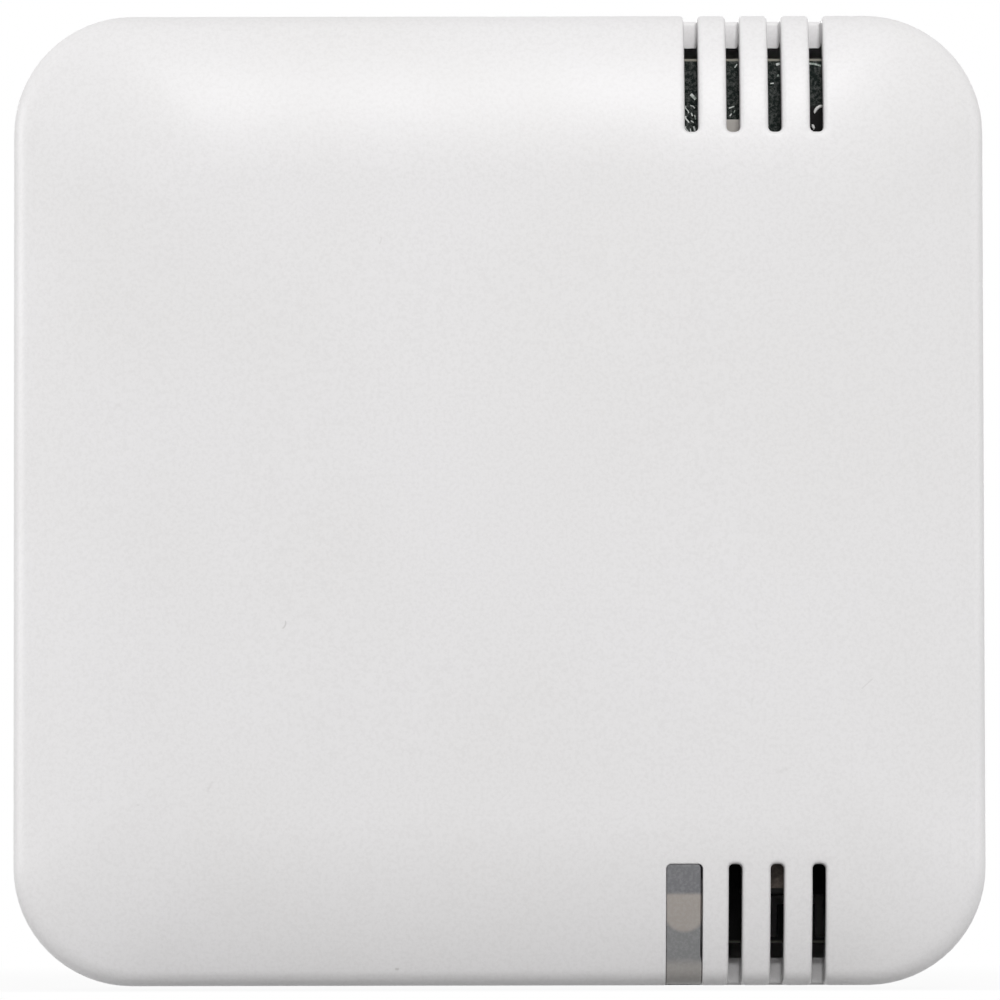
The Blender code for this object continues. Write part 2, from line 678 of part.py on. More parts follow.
def make_screw(name, x, z, material):
    """A pan-head screw that goes through the board into a post, with its head at the back."""
    dome = SCREW_HEAD_HEIGHT / 3
    tip = SCREW_RADIUS / 2
    profile = [
        (0, SCREW_HEAD_HEIGHT),
        (SCREW_HEAD_RADIUS * 0.6, SCREW_HEAD_HEIGHT),
        (SCREW_HEAD_RADIUS * 0.9, SCREW_HEAD_HEIGHT - dome / 2),
        (SCREW_HEAD_RADIUS, SCREW_HEAD_HEIGHT - dome),
        (SCREW_HEAD_RADIUS, 0),
        (SCREW_RADIUS, 0),
        (SCREW_RADIUS, tip - SCREW_LENGTH),
        (SCREW_RADIUS / 2, -SCREW_LENGTH),
        (0, -SCREW_LENGTH),
    ]
    screw = turned(name, profile, material, TURN_STEPS // 2)
    screw.rotation_euler = (-math.pi / 2, 0, 0)
    screw.location = (x, BOARD_BACK_Y + SEAT_GAP, z)
    reach, half = SCREW_RECESS_REACH, SCREW_RECESS_WIDTH / 2
    arms = [(reach, half), (half, half), (half, reach)]
    outline = []
    for way_x, way_z in ((1, 1), (-1, 1), (-1, -1), (1, -1)):
        corner = [(way_x * px, way_z * pz) for px, pz in arms]
        outline += corner if way_x == way_z else corner[::-1]
    head_y = BOARD_BACK_Y + SEAT_GAP + SCREW_HEAD_HEIGHT
    placed = [(x + px, z + pz) for px, pz in outline]
    cut(screw, name + "_recess", prism_y(placed, head_y - SCREW_RECESS_DEPTH, head_y + OVERRUN))
    return screw


# Cells, holders and contacts


def make_cell(name, way, centre_z, material):
    """A cylindrical cell lying along X, with its positive terminal towards way."""
    shoulder = CELL_LENGTH / 2 - TERMINAL_HEIGHT
    profile = [
        (0, CELL_LENGTH / 2),
        (TERMINAL_RADIUS - CELL_EDGE / 2, CELL_LENGTH / 2),
        (TERMINAL_RADIUS, CELL_LENGTH / 2 - CELL_EDGE / 2),
        (TERMINAL_RADIUS, shoulder),
        (CELL_RADIUS - CELL_EDGE, shoulder),
        (CELL_RADIUS, shoulder - CELL_EDGE),
        (CELL_RADIUS, -CELL_LENGTH / 2 + CELL_EDGE),
        (CELL_RADIUS - CELL_EDGE, -CELL_LENGTH / 2),
        (0, -CELL_LENGTH / 2),
    ]
    cell = turned(name, profile, material)
    cell.rotation_euler = (0, way * math.pi / 2, 0)
    cell.location = (0, CELL_Y, centre_z)
    return cell


def channel_outline(centre_z):
    """The holder's channel: a half round for the cell, with sides that run straight out at the top."""
    top_y = HOLDER_TOP_Y + OVERRUN
    points = [(top_y, centre_z + CHANNEL_RADIUS)]
    steps = TURN_STEPS // 2
    for step in range(steps + 1):
        angle = math.pi * step / steps
        y = CELL_Y - CHANNEL_RADIUS * math.sin(angle)
        points.append((y, centre_z + CHANNEL_RADIUS * math.cos(angle)))
    points.append((top_y, centre_z - CHANNEL_RADIUS))
    return points


def make_holder(name, way, centre_z, material):
    """A moulded tray with a wall at each end for the contacts, and low grips in its sides."""
    spring_end = -(CELL_LENGTH / 2 + SPRING_SPACE)
    plate_end = CELL_LENGTH / 2 + CONTACT_SPACE
    half = CHANNEL_RADIUS + HOLDER_WALL
    foot_y, top_y = BOARD_BACK_Y + SEAT_GAP, HOLDER_TOP_Y
    low_x, high_x = sorted((way * (spring_end - HOLDER_END), way * (plate_end + HOLDER_END)))
    tray = box((low_x, foot_y, centre_z - half), (high_x, top_y, centre_z + half))
    holder = add_object(name, tray, material)
    channel = prism_x(channel_outline(centre_z), *sorted((way * spring_end, way * plate_end)))
    cut(holder, name + "_channel", channel)
    grip = HOLDER_GRIP_LENGTH / 2
    grip_low = (-grip, top_y - HOLDER_GRIP_DEPTH, centre_z - half - OVERRUN)
    cut(holder, name + "_grips", box(grip_low, (grip, top_y + OVERRUN, centre_z + half + OVERRUN)))
    return holder


def make_spring(name, way, centre_z, material):
    """The negative contact: a cone of wire between the holder's end wall and the cell."""
    steps = 12 * SPRING_TURNS
    gap = SPRING_WIRE / 2 + SEAT_GAP
    start = CELL_LENGTH / 2 + SPRING_SPACE - gap
    run = SPRING_SPACE - 2 * gap
    points = []
    for step in range(steps + 1):
        share = step / steps
        angle = 2 * math.pi * SPRING_TURNS * share
        radius = SPRING_WIDE + (SPRING_NARROW - SPRING_WIDE) * share
        x = -way * (start - run * share)
        points.append((x, CELL_Y + radius * math.sin(angle), centre_z + radius * math.cos(angle)))
    return wire(name, points, SPRING_WIRE, material)


def make_contact(name, way, centre_z, material):
    """The positive contact: a square plate with a pressed boss that meets the cell's terminal."""
    back = CELL_LENGTH / 2 + CONTACT_SPACE - SEAT_GAP
    front = back - CONTACT_THICKNESS
    half = CONTACT_SIDE / 2
    low_x, high_x = sorted((way * front, way * back))
    low, high = (low_x, CELL_Y - half, centre_z - half), (high_x, CELL_Y + half, centre_z + half)
    contact = add_object(name, box(low, high), material)
    boss_x = sorted((way * (front - CONTACT_BOSS), way * (back - CONTACT_THICKNESS / 2)))
    boss = prism_x(circle(CELL_Y, centre_z, TERMINAL_RADIUS, TURN_STEPS // 2), *boss_x)
    combine(contact, add_helper(name + "_boss", boss), "UNION")
    return contact


# Parts on the board


def make_chip(name, x, z, size, front, material, bevel=CHIP_BEVEL):
    """A flat part soldered to the board's front or back, with size as width, height and thickness."""
    width, height, thickness = size
    if front:
        low_y, high_y = BOARD_FRONT_Y - SOLDER_GAP - thickness, BOARD_FRONT_Y - SOLDER_GAP
    else:
        low_y, high_y = BOARD_BACK_Y + SOLDER_GAP, BOARD_BACK_Y + SOLDER_GAP + thickness
    shape = box((x - width / 2, low_y, z - height / 2), (x + width / 2, high_y, z + height / 2))
    chip = add_object(name, shape, material)
    modifier = chip.modifiers.new("soft_edges", "BEVEL")
    modifier.width = bevel
    modifier.segments = 2
    return chip


def make_capacitor(can_material, base_material):
    """A low round can on a square base, behind the middle lower vent."""
    x, z = VENT_XS[2], -(HALF_SIDE - CAPACITOR_EDGE_INSET)
    side = 2 * (CAPACITOR_RADIUS + SOLDER_GAP)
    size = (side, side, CAPACITOR_BASE)
    make_chip("capacitor_base", x, z, size, True, base_material, CAPACITOR_BASE_BEVEL)
    height = CAPACITOR_HEIGHT - CAPACITOR_BASE - SOLDER_GAP
    edge = CAPACITOR_RADIUS / 8
    neck = CAPACITOR_RADIUS - edge / 2
    profile = [
        (0, height),
        (CAPACITOR_RADIUS - edge, height),
        (CAPACITOR_RADIUS, height - edge),
        (CAPACITOR_RADIUS, 3 * edge),
        (neck, 2 * edge),
        (CAPACITOR_RADIUS, edge),
        (CAPACITOR_RADIUS, 0),
        (0, 0),
    ]
    can = turned("buffer_capacitor", profile, can_material)
    can.rotation_euler = (math.pi / 2, 0, 0)
    can.location = (x, BOARD_FRONT_Y - CAPACITOR_BASE - 2 * SOLDER_GAP, z)


def make_sensor(material):
    """The humidity and temperature sensor, with the round port that lets air in."""
    x, z = sensor_place()
    size = (SENSOR_SIDE, SENSOR_SIDE, SENSOR_HEIGHT)
    sensor = make_chip("humidity_sensor", x, z, size, True, material)
    front_y = BOARD_FRONT_Y - SOLDER_GAP - SENSOR_HEIGHT
    mouth = circle(x, z, SENSOR_PORT, TURN_STEPS // 2)
    cut(sensor, "sensor_port", prism_y(mouth, front_y - OVERRUN, front_y + SENSOR_HEIGHT / 2))


def make_eye(material):
    """The light sensor's domed body behind the window."""
    dome = EYE_HEIGHT / 2
    steps = CORNER_STEPS // 2
    profile = [
        (EYE_RADIUS * math.sin(a), EYE_HEIGHT - dome + dome * math.cos(a))
        for a in (math.pi / 2 * step / steps for step in range(steps + 1))
    ]
    profile += [(EYE_RADIUS, 0), (0, 0)]
    eye = turned("light_sensor", profile, material)
    eye.rotation_euler = (math.pi / 2, 0, 0)
    eye.location = (WINDOW_X, BOARD_FRONT_Y - SOLDER_GAP, EYE_Z)


def make_radio(board_material, shield_material):
    """The radio's own small board, and the pressed can on it."""
    x, z = HALF_SIDE - MODULE_INSET, STRIP_Z
    size = (MODULE_SIDE, MODULE_SIDE, MODULE_THICKNESS)
    make_chip("radio_module", x, z, size, False, board_material)
    half = SHIELD_SIDE / 2
    foot_y = BOARD_BACK_Y + MODULE_THICKNESS + 2 * SOLDER_GAP
    shape = box((x - half, foot_y, z - half), (x + half, foot_y + SHIELD_HEIGHT, z + half))
    shield = add_object("radio_shield", shape, shield_material)
    modifier = shield.modifiers.new("pressed_edges", "BEVEL")
    modifier.width = SHIELD_BEVEL
    modifier.segments = 3


def make_aerial(material):
    """A helical aerial of springy wire, which stands on one leg in the board."""
    steps = 12 * AERIAL_TURNS
    z = STRIP_Z
    y = BOARD_BACK_Y + SEAT_GAP + AERIAL_RADIUS + AERIAL_WIRE
    start = AERIAL_INSET - HALF_SIDE
    points = [(start, BOARD_BACK_Y + SEAT_GAP, z + AERIAL_RADIUS)]
    for step in range(steps + 1):
        share = step / steps
        angle = 2 * math.pi * AERIAL_TURNS * share
        x = start + AERIAL_PITCH * AERIAL_TURNS * share
        points.append((x, y - AERIAL_RADIUS * math.sin(angle), z + AERIAL_RADIUS * math.cos(angle)))
    return wire("aerial", points, AERIAL_WIRE, material)


def make_front_parts(finishes):
    """The flat parts that lie behind the upper vents and the light window."""
    parts = [
        ("filter_inductor", VENT_XS[1], VENT_END_Z + FILTER_RISE, FILTER_SIZE, "ceramic"),
        ("voltage_monitor", VENT_XS[3], VENT_END_Z + MONITOR_RISE, MONITOR_SIZE, "black_epoxy"),
        ("bypass_capacitor_1", VENT_XS[0], VENT_END_Z - BYPASS_DROP, BYPASS_SIZE, "ceramic"),
        ("bypass_capacitor_2", VENT_XS[2], VENT_END_Z - BYPASS_DROP, BYPASS_SIZE, "ceramic"),
        ("status_led", WINDOW_X, -(VENT_END_Z + LED_DROP), LED_SIZE, "lens"),
    ]
    for name, x, z, size, slot in parts:
        make_chip(name, x, z, size, True, finishes[slot])


def make_back_parts(finishes):
    """The row of flat parts on the board's back, below the cells, from left to right."""
    row = [
        ("power_inductor", CHOKE_SIZE, "dark_ferrite"),
        ("voltage_regulator", REGULATOR_SIZE, "black_epoxy"),
        ("tag_chip", TAG_SIZE, "black_epoxy"),
        ("processor", PROCESSOR_SIZE, "black_epoxy"),
        ("memory_chip", MEMORY_SIZE, "black_epoxy"),
        ("clock_crystal", CRYSTAL_SIZE, "tinned_steel"),
    ]
    x = POST_FOOT_RADIUS - POST_XZ
    for name, size, slot in row:
        x += CHIP_GAP
        make_chip(name, x + size[0] / 2, -STRIP_Z, size, False, finishes[slot])
        x += size[0]


def main():
    clear_scene()
    finishes = {
        "white_plastic": finish("white_plastic", (0.78, 0.77, 0.775), 0.42),
        "plate_plastic": finish("plate_plastic", (0.76, 0.75, 0.755), 0.5),
        "grey_window": finish("grey_window", (0.23, 0.23, 0.235), 0.35),
        "board_laminate": finish("board_laminate", (0.012, 0.02, 0.017), 0.35),
        "module_laminate": finish("module_laminate", (0.01, 0.05, 0.03), 0.4),
        "zinc_steel": finish("zinc_steel", (0.6, 0.6, 0.6), 0.3, 1.0),
        "tinned_steel": finish("tinned_steel", (0.7, 0.7, 0.68), 0.28, 1.0),
        "gilt_steel": finish("gilt_steel", (0.65, 0.6, 0.5), 0.3, 1.0),
        "cell_sleeve": finish("cell_sleeve", (0.05, 0.2, 0.09), 0.35),
        "holder_plastic": finish("holder_plastic", (0.02, 0.02, 0.02), 0.5),
        "can_aluminium": finish("can_aluminium", (0.45, 0.42, 0.38), 0.35, 1.0),
        "black_epoxy": finish("black_epoxy", (0.018, 0.018, 0.018), 0.4),
        "dark_ferrite": finish("dark_ferrite", (0.06, 0.06, 0.065), 0.6),
        "ceramic": finish("ceramic", (0.38, 0.35, 0.32), 0.45),
        "lens": finish("lens", (0.6, 0.58, 0.52), 0.3),
        "eye_resin": finish("eye_resin", (0.5, 0.46, 0.4), 0.35),
    }
    make_cover(finishes["white_plastic"])
    make_window(finishes["grey_window"])
    make_plate(finishes["plate_plastic"])
    make_board(finishes["board_laminate"])
    posts = [(x, z) for x in (-POST_XZ, POST_XZ) for z in (-POST_XZ, POST_XZ)]
    for number, (x, z) in enumerate(posts, 1):
        make_screw(f"board_screw_{number}", x, z, finishes["zinc_steel"])
    for number, way in ((1, 1), (2, -1)):
        centre_z = way * CELL_PITCH / 2
        make_holder(f"cell_holder_{number}", way, centre_z, finishes["holder_plastic"])
        make_cell(f"cell_{number}", way, centre_z, finishes["cell_sleeve"])
        make_spring(f"contact_spring_{number}", way, centre_z, finishes["tinned_steel"])
        make_contact(f"contact_plate_{number}", way, centre_z, finishes["gilt_steel"])
    make_capacitor(finishes["can_aluminium"], finishes["black_epoxy"])
    make_sensor(finishes["black_epoxy"])
    make_eye(finishes["eye_resin"])
    make_radio(finishes["module_laminate"], finishes["tinned_steel"])
    make_aerial(finishes["tinned_steel"])
    make_front_parts(finishes)
    make_back_parts(finishes)
    settle()


main()
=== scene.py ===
"""Looks of a wall-mounted room temperature and humidity sensor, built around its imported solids.

The frame has X to the right and Z up as the front is looked at, and -Y out of the wall. Sizes are in
metres, written as millimetres times MM.
"""

import math

import bmesh
import bpy
import numpy as np
from mathutils import Matrix, Vector
from mathutils.geometry import delaunay_2d_cdt


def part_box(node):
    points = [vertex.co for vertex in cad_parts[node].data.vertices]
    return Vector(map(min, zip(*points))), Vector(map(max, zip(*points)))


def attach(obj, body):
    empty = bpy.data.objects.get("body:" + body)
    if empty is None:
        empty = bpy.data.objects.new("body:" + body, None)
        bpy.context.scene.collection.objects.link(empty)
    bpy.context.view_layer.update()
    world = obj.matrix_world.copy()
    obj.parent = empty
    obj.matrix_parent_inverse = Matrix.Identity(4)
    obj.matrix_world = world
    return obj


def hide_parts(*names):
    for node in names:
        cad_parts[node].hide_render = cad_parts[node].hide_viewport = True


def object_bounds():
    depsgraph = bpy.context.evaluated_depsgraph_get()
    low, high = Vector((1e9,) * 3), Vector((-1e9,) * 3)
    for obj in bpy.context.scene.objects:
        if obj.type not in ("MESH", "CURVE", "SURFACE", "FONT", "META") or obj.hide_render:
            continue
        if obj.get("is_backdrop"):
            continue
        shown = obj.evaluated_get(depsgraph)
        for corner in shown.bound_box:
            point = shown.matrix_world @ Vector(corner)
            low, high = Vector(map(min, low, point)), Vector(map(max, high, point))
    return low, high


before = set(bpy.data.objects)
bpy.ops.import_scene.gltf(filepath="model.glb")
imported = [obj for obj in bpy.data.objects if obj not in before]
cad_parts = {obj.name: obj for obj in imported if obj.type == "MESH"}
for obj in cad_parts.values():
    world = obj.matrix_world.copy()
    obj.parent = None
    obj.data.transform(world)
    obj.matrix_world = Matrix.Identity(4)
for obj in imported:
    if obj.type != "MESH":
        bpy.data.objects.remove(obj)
cad_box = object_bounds()
scene = bpy.context.scene

# Studio: the sensor is looked at square on, from a little below its middle, through a long lens. A small
# lamp stands high in front of it and another lower, whose light reaches through the vents. Softer ones
# light its sides and its back, and everything round it is white.
MM = 0.001
MIDDLE = Vector((0.1 * MM, -13.0 * MM, 0.3 * MM))
VIEW_DISTANCE = 713.0 * MM
VIEW_DROP = math.radians(2.6)
VIEW_ROLL = math.radians(-0.10)
LENS = 288.0
FLOOR_Z = -43.2 * MM
SURROUND_LIGHT = 0.50
FLOOR_COLOUR = (0.5, 0.5, 0.5)
FLOOR_REACH = 3.0
# The floor shows as white paper, apart from the object's shadow, which fades in front of it and around
FLOOR_WASH = 0.93
WASH_YS = (-22 * MM, -30 * MM)
WASH_REACH = (60 * MM, 180 * MM)
LAMP_DISTANCE = 1.25
# Each lamp: name, energy, width, azimuth to the right of the front, elevation, seen in gloss
LAMPS = (
    ("key_lamp", 4.52, 0.2, 4.5, 36, True),
    ("low_lamp", 3.60, 0.12, 0.5, 22, False),
    ("left_lamp", 4.82, 0.6, -95, 6, True),
    ("right_lamp", 2.72, 0.6, 95, 6, True),
    ("back_lamp", 5.0, 0.6, 180, 2, True),
)


def aim(obj, place, target, roll=0.0):
    """Puts obj at place with its own -Z towards target and its Y up, then rolled about the view."""
    turn = (target - place).to_track_quat("-Z", "Y").to_matrix().to_4x4()
    obj.matrix_world = Matrix.Translation(place) @ turn @ Matrix.Rotation(roll, 4, "Z")


def add_object(name, data):
    """A new object in the scene, at the origin."""
    made = bpy.data.objects.new(name, data)
    scene.collection.objects.link(made)
    return made


def finish(name, colour, roughness, metallic=0.0):
    """A material whose Principled shader has these plain values, with its node tree and that shader."""
    material = bpy.data.materials.new(name)
    material.use_nodes = True
    shader = material.node_tree.nodes["Principled BSDF"]
    shader.inputs["Base Color"].default_value = (*colour, 1.0)
    shader.inputs["Roughness"].default_value = roughness
    shader.inputs["Metallic"].default_value = metallic
    return material, material.node_tree, shader


def math_node(tree, operation, *values):
    """A Math node on numbers or sockets, which gives its output."""
    node = tree.nodes.new("ShaderNodeMath")
    node.operation = operation
    for socket, value in zip(node.inputs, values):
        if isinstance(value, bpy.types.NodeSocket):
            tree.links.new(value, socket)
        else:
            socket.default_value = value
    return node.outputs[0]


def joined(tree, operation, values):
    """All the values joined in turn by one Math operation."""
    result = values[0]
    for value in values[1:]:
        result = math_node(tree, operation, result, value)
    return result


def ramp(tree, value, low, high, to_low=0.0, to_high=1.0, kind="SMOOTHSTEP"):
    """A step from to_low, where value is low, to to_high, where it is high."""
    node = tree.nodes.new("ShaderNodeMapRange")
    node.interpolation_type = kind
    tree.links.new(value, node.inputs["Value"])
    for name, number in (("From Min", low), ("From Max", high), ("To Min", to_low), ("To Max", to_high)):
        node.inputs[name].default_value = number
    return node.outputs["Result"]


def object_place(tree):
    """The point on the piece, in its own coordinates."""
    return tree.nodes.new("ShaderNodeTexCoord").outputs["Object"]


def axes(tree, vector):
    """The X, Y and Z of a vector."""
    node = tree.nodes.new("ShaderNodeSeparateXYZ")
    tree.links.new(vector, node.inputs["Vector"])
    return node.outputs


def seen_directly(tree):
    """1 for rays that come from the camera, a glossy surface or clear material, and 0 for the rest."""
    rays = tree.nodes.new("ShaderNodeLightPath").outputs
    kinds = ("Is Camera Ray", "Is Glossy Ray", "Is Transmission Ray")
    return joined(tree, "MAXIMUM", [rays[kind] for kind in kinds])


camera_data = bpy.data.cameras.new("camera")
camera_data.lens = LENS
camera = add_object("camera", camera_data)
view_way = Vector((0, -math.cos(VIEW_DROP), -math.sin(VIEW_DROP)))
aim(camera, MIDDLE + VIEW_DISTANCE * view_way, MIDDLE, VIEW_ROLL)
scene.camera = camera
scene.view_settings.view_transform = "Standard"

world = bpy.data.worlds.new("surround")
world.use_nodes = True
scene.world = world
tree = world.node_tree
strength = ramp(tree, seen_directly(tree), 0.0, 1.0, SURROUND_LIGHT, 1.0, "LINEAR")
tree.nodes["Background"].inputs["Color"].default_value = (1, 1, 1, 1)
tree.links.new(strength, tree.nodes["Background"].inputs["Strength"])

for name, energy, width, azimuth, elevation, in_gloss in LAMPS:
    lamp_data = bpy.data.lights.new(name, "AREA")
    lamp_data.shape = "DISK"
    lamp_data.size = width
    lamp_data.energy = energy
    lamp = add_object(name, lamp_data)
    turn, rise = math.radians(azimuth), math.radians(elevation)
    lamp_way = Vector((math.sin(turn) * math.cos(rise), -math.cos(turn) * math.cos(rise), math.sin(rise)))
    aim(lamp, MIDDLE + LAMP_DISTANCE * lamp_way, MIDDLE)
    lamp.visible_glossy = in_gloss

floor_mesh = bpy.data.meshes.new("floor")
corners = ((-1, -1), (1, -1), (1, 1), (-1, 1))
corners = [(x * FLOOR_REACH, y * FLOOR_REACH, FLOOR_Z) for x, y in corners]
floor_mesh.from_pydata(corners, [], [(0, 1, 2, 3)])
floor = add_object("floor", floor_mesh)
paper, tree, shader = finish("floor_paper", FLOOR_COLOUR, 0.9)
wash = tree.nodes.new("ShaderNodeEmission")
place = object_place(tree)
far = tree.nodes.new("ShaderNodeVectorMath")
far.operation = "LENGTH"
tree.links.new(place, far.inputs[0])
in_front = ramp(tree, axes(tree, place)["Y"], *WASH_YS, FLOOR_WASH, 1.0)
around = ramp(tree, far.outputs["Value"], *WASH_REACH, FLOOR_WASH, 1.0)
washed = math_node(tree, "MAXIMUM", in_front, around)
mixed = tree.nodes.new("ShaderNodeMixShader")
tree.links.new(math_node(tree, "MULTIPLY", seen_directly(tree), washed), mixed.inputs["Fac"])
tree.links.new(shader.outputs["BSDF"], mixed.inputs[1])
tree.links.new(wash.outputs["Emission"], mixed.inputs[2])
tree.links.new(mixed.outputs["Shader"], tree.nodes["Material Output"].inputs["Surface"])
floor_mesh.materials.append(paper)
floor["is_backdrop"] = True

# Front cover: one white ABS moulding with a fine spark-eroded grain. Its front is a shallow crown that
# rolls over in a wide band to the sides. Vents are cut over its top and bottom edges, and it snaps onto
# the back plate.
HALF_SIDE = 43.0 * MM
FRONT_Y = -26.01 * MM
COVER_RIM_Y = -2.3 * MM
RIM_ROUND = 0.15 * MM
COVER_WALL = 2.4 * MM
CORNER_RADIUS = 10.5 * MM
SIDE_DRAFT = 0.2 * MM
CROWN_RISE = 0.4 * MM
CROWN_RUN = 28.0 * MM
BAND_WIDTH = 15.0 * MM
BAND_RADIUS = 32.0 * MM
BAND_CORNER_RADIUS = 5.0 * MM
EDGE_RADIUS = 2.5 * MM
LEAST_RADIUS = 0.3 * MM
CROWN_SLOPE = math.atan(2 * CROWN_RISE / CROWN_RUN)
BAND_CENTRE_INSET = BAND_WIDTH + BAND_RADIUS * math.sin(CROWN_SLOPE)
BAND_CENTRE_DROP = CROWN_RISE + BAND_RADIUS * math.cos(CROWN_SLOPE)
STRAIGHT_HALF = HALF_SIDE - CORNER_RADIUS
VENT_XS = (16.99 * MM, 20.66 * MM, 24.33 * MM, 28.0 * MM)
VENT_WIDTH = 1.2 * MM
VENT_END_Z = 32.15 * MM
VENT_LEDGE_Y = -15.01 * MM
VENT_END_RADIUS = 0.45 * MM
VENT_LEDGE_RADIUS = 0.2 * MM
VENT_LIP = 0.38 * MM
WINDOW_X = 16.19 * MM
WINDOW_WIDTH = 3.2 * MM
WINDOW_LIP = 0.16 * MM
COVER_GRID = 0.42 * MM
CORNER_STEPS = 16
FIRST_RING = 0.04
SIDE_START = 0.2 * MM


def skin_rows(offset, counts, side_ys):
    """Half side, corner radius and y of rows on the cover's surface moved in by offset.

    From the middle outwards the rows follow a shallow parabola (the crown), an arc (the band), a small
    arc (the edge) and a straight line with draft (the side). A row's corner radius shrinks with its
    inset from the sides.
    """
    crown, band, edge = counts
    band_radius = BAND_RADIUS - offset
    edge_radius = max(EDGE_RADIUS - offset, LEAST_RADIUS)
    edge_inset = SIDE_DRAFT + offset + edge_radius
    reach = band_radius - edge_radius
    end_slope = math.asin((BAND_CENTRE_INSET - edge_inset) / reach)
    edge_y = FRONT_Y + BAND_CENTRE_DROP - reach * math.cos(end_slope)
    share = np.linspace(FIRST_RING, 1, crown)
    slope = share * CROWN_SLOPE
    insets = [HALF_SIDE - share * CROWN_RUN + offset * np.sin(slope)]
    ys = [FRONT_Y + CROWN_RISE * share**2 + offset * np.cos(slope)]
    slopes = [slope]
    slope = np.linspace(CROWN_SLOPE, end_slope, band + 1)[1:]
    insets.append(BAND_CENTRE_INSET - band_radius * np.sin(slope))
    ys.append(FRONT_Y + BAND_CENTRE_DROP - band_radius * np.cos(slope))
    slopes.append(slope)
    slope = np.linspace(end_slope, math.pi / 2, edge + 1)[1:]
    insets.append(edge_inset - edge_radius * np.sin(slope))
    ys.append(edge_y - edge_radius * np.cos(slope))
    slopes.append(slope)
    side_y = np.array([y for y in side_ys if y > edge_y + SIDE_START])
    insets.append(offset + SIDE_DRAFT * (side_y - COVER_RIM_Y) / (edge_y - COVER_RIM_Y))
    ys.append(side_y)
    slopes.append(np.full(len(side_y), math.pi / 2))
    inset, y, slope = (np.concatenate(part) for part in (insets, ys, slopes))
    moved = offset * np.sin(slope)
    outer = inset - moved
    in_band = CORNER_RADIUS + (BAND_CORNER_RADIUS - CORNER_RADIUS) * outer / BAND_WIDTH
    in_crown = BAND_CORNER_RADIUS * (HALF_SIDE - outer) / CROWN_RUN
    radius = np.maximum(np.where(outer < BAND_WIDTH, in_band, in_crown) - moved, LEAST_RADIUS)
    return HALF_SIDE - inset, radius, y


def ring_columns(levels):
    """Columns of a rounded square: (share of the radius, share of the straight, sine, quarter turn).

    A point of a ring lies half - radius + radius * c out from the middle of its side and
    (half - radius) * t + radius * s along it, turned by its side's quarter turn.
    """
    angle = np.linspace(0, math.pi / 2, CORNER_STEPS + 1)[1:-1]
    straight = np.stack([np.ones_like(levels), levels, np.zeros_like(levels)])
    corner = np.stack([np.cos(angle), np.ones_like(angle), np.sin(angle)])
    side = np.concatenate([straight, corner], axis=1)
    turns = np.repeat(np.arange(4) * math.pi / 2, side.shape[1])
    return np.concatenate([np.tile(side, 4), turns[None]])


def ring_points(half, radius, y, columns):
    """A grid of points, one row for each ring and one column for each column of the rounded square."""
    half, radius, y = (np.asarray(value, float)[:, None] for value in (half, radius, y))
    c, t, s, turn = (value[None] for value in columns)
    out = half - radius + radius * c
    along = (half - radius) * t + radius * s
    x = out * np.cos(turn) - along * np.sin(turn)
    z = out * np.sin(turn) + along * np.cos(turn)
    return np.stack([x, np.broadcast_to(y, x.shape), z], axis=-1)


def across(rows, x):
    """Height z at which each row crosses each x on the upper side: x in rows, rows in columns."""
    half, radius, _ = rows
    beyond = np.maximum(x[:, None] - (half - radius), 0)
    return half - radius + np.sqrt(np.maximum(radius**2 - beyond**2, 0))


def on_skin(rows, x, share, step):
    """Points on a skin at x, a share of the way from a vent's inner end to its ledge, plus a step.

    The way is measured along the skin in the plane at x, from where it is VENT_END_Z high.
    """
    z = across(rows, x)
    y = np.broadcast_to(rows[2], z.shape)
    run = np.cumsum(np.hypot(np.diff(z), np.diff(y)), axis=1)
    way = np.concatenate([np.zeros((len(x), 1)), run], axis=1)

    def between(values, levels, wanted):
        place = np.clip((levels < wanted[:, None]).sum(axis=1), 1, levels.shape[1] - 1)
        pick = np.arange(len(x))
        low, high = levels[pick, place - 1], levels[pick, place]
        part = (wanted - low) / np.where(high > low, high - low, 1)
        return values[pick, place - 1] * (1 - part) + values[pick, place] * part

    start = between(way, z, np.full(len(x), VENT_END_Z))
    end = between(way, y, np.full(len(x), VENT_LEDGE_Y))
    wanted = start + share * (end - start) + step
    return np.stack([x, between(y, way, wanted), between(z, way, wanted)], axis=-1)


def skin_normal(rows, x, share, step):
    """Outward unit normal of a skin: the cross product of its slopes along x and along the way."""
    small = 0.02 * MM
    along_x = on_skin(rows, x + small, share, step) - on_skin(rows, x - small, share, step)
    along_way = on_skin(rows, x, share, step + small) - on_skin(rows, x, share, step - small)
    normal = np.cross(along_x, along_way)
    return normal / np.linalg.norm(normal, axis=1)[:, None]


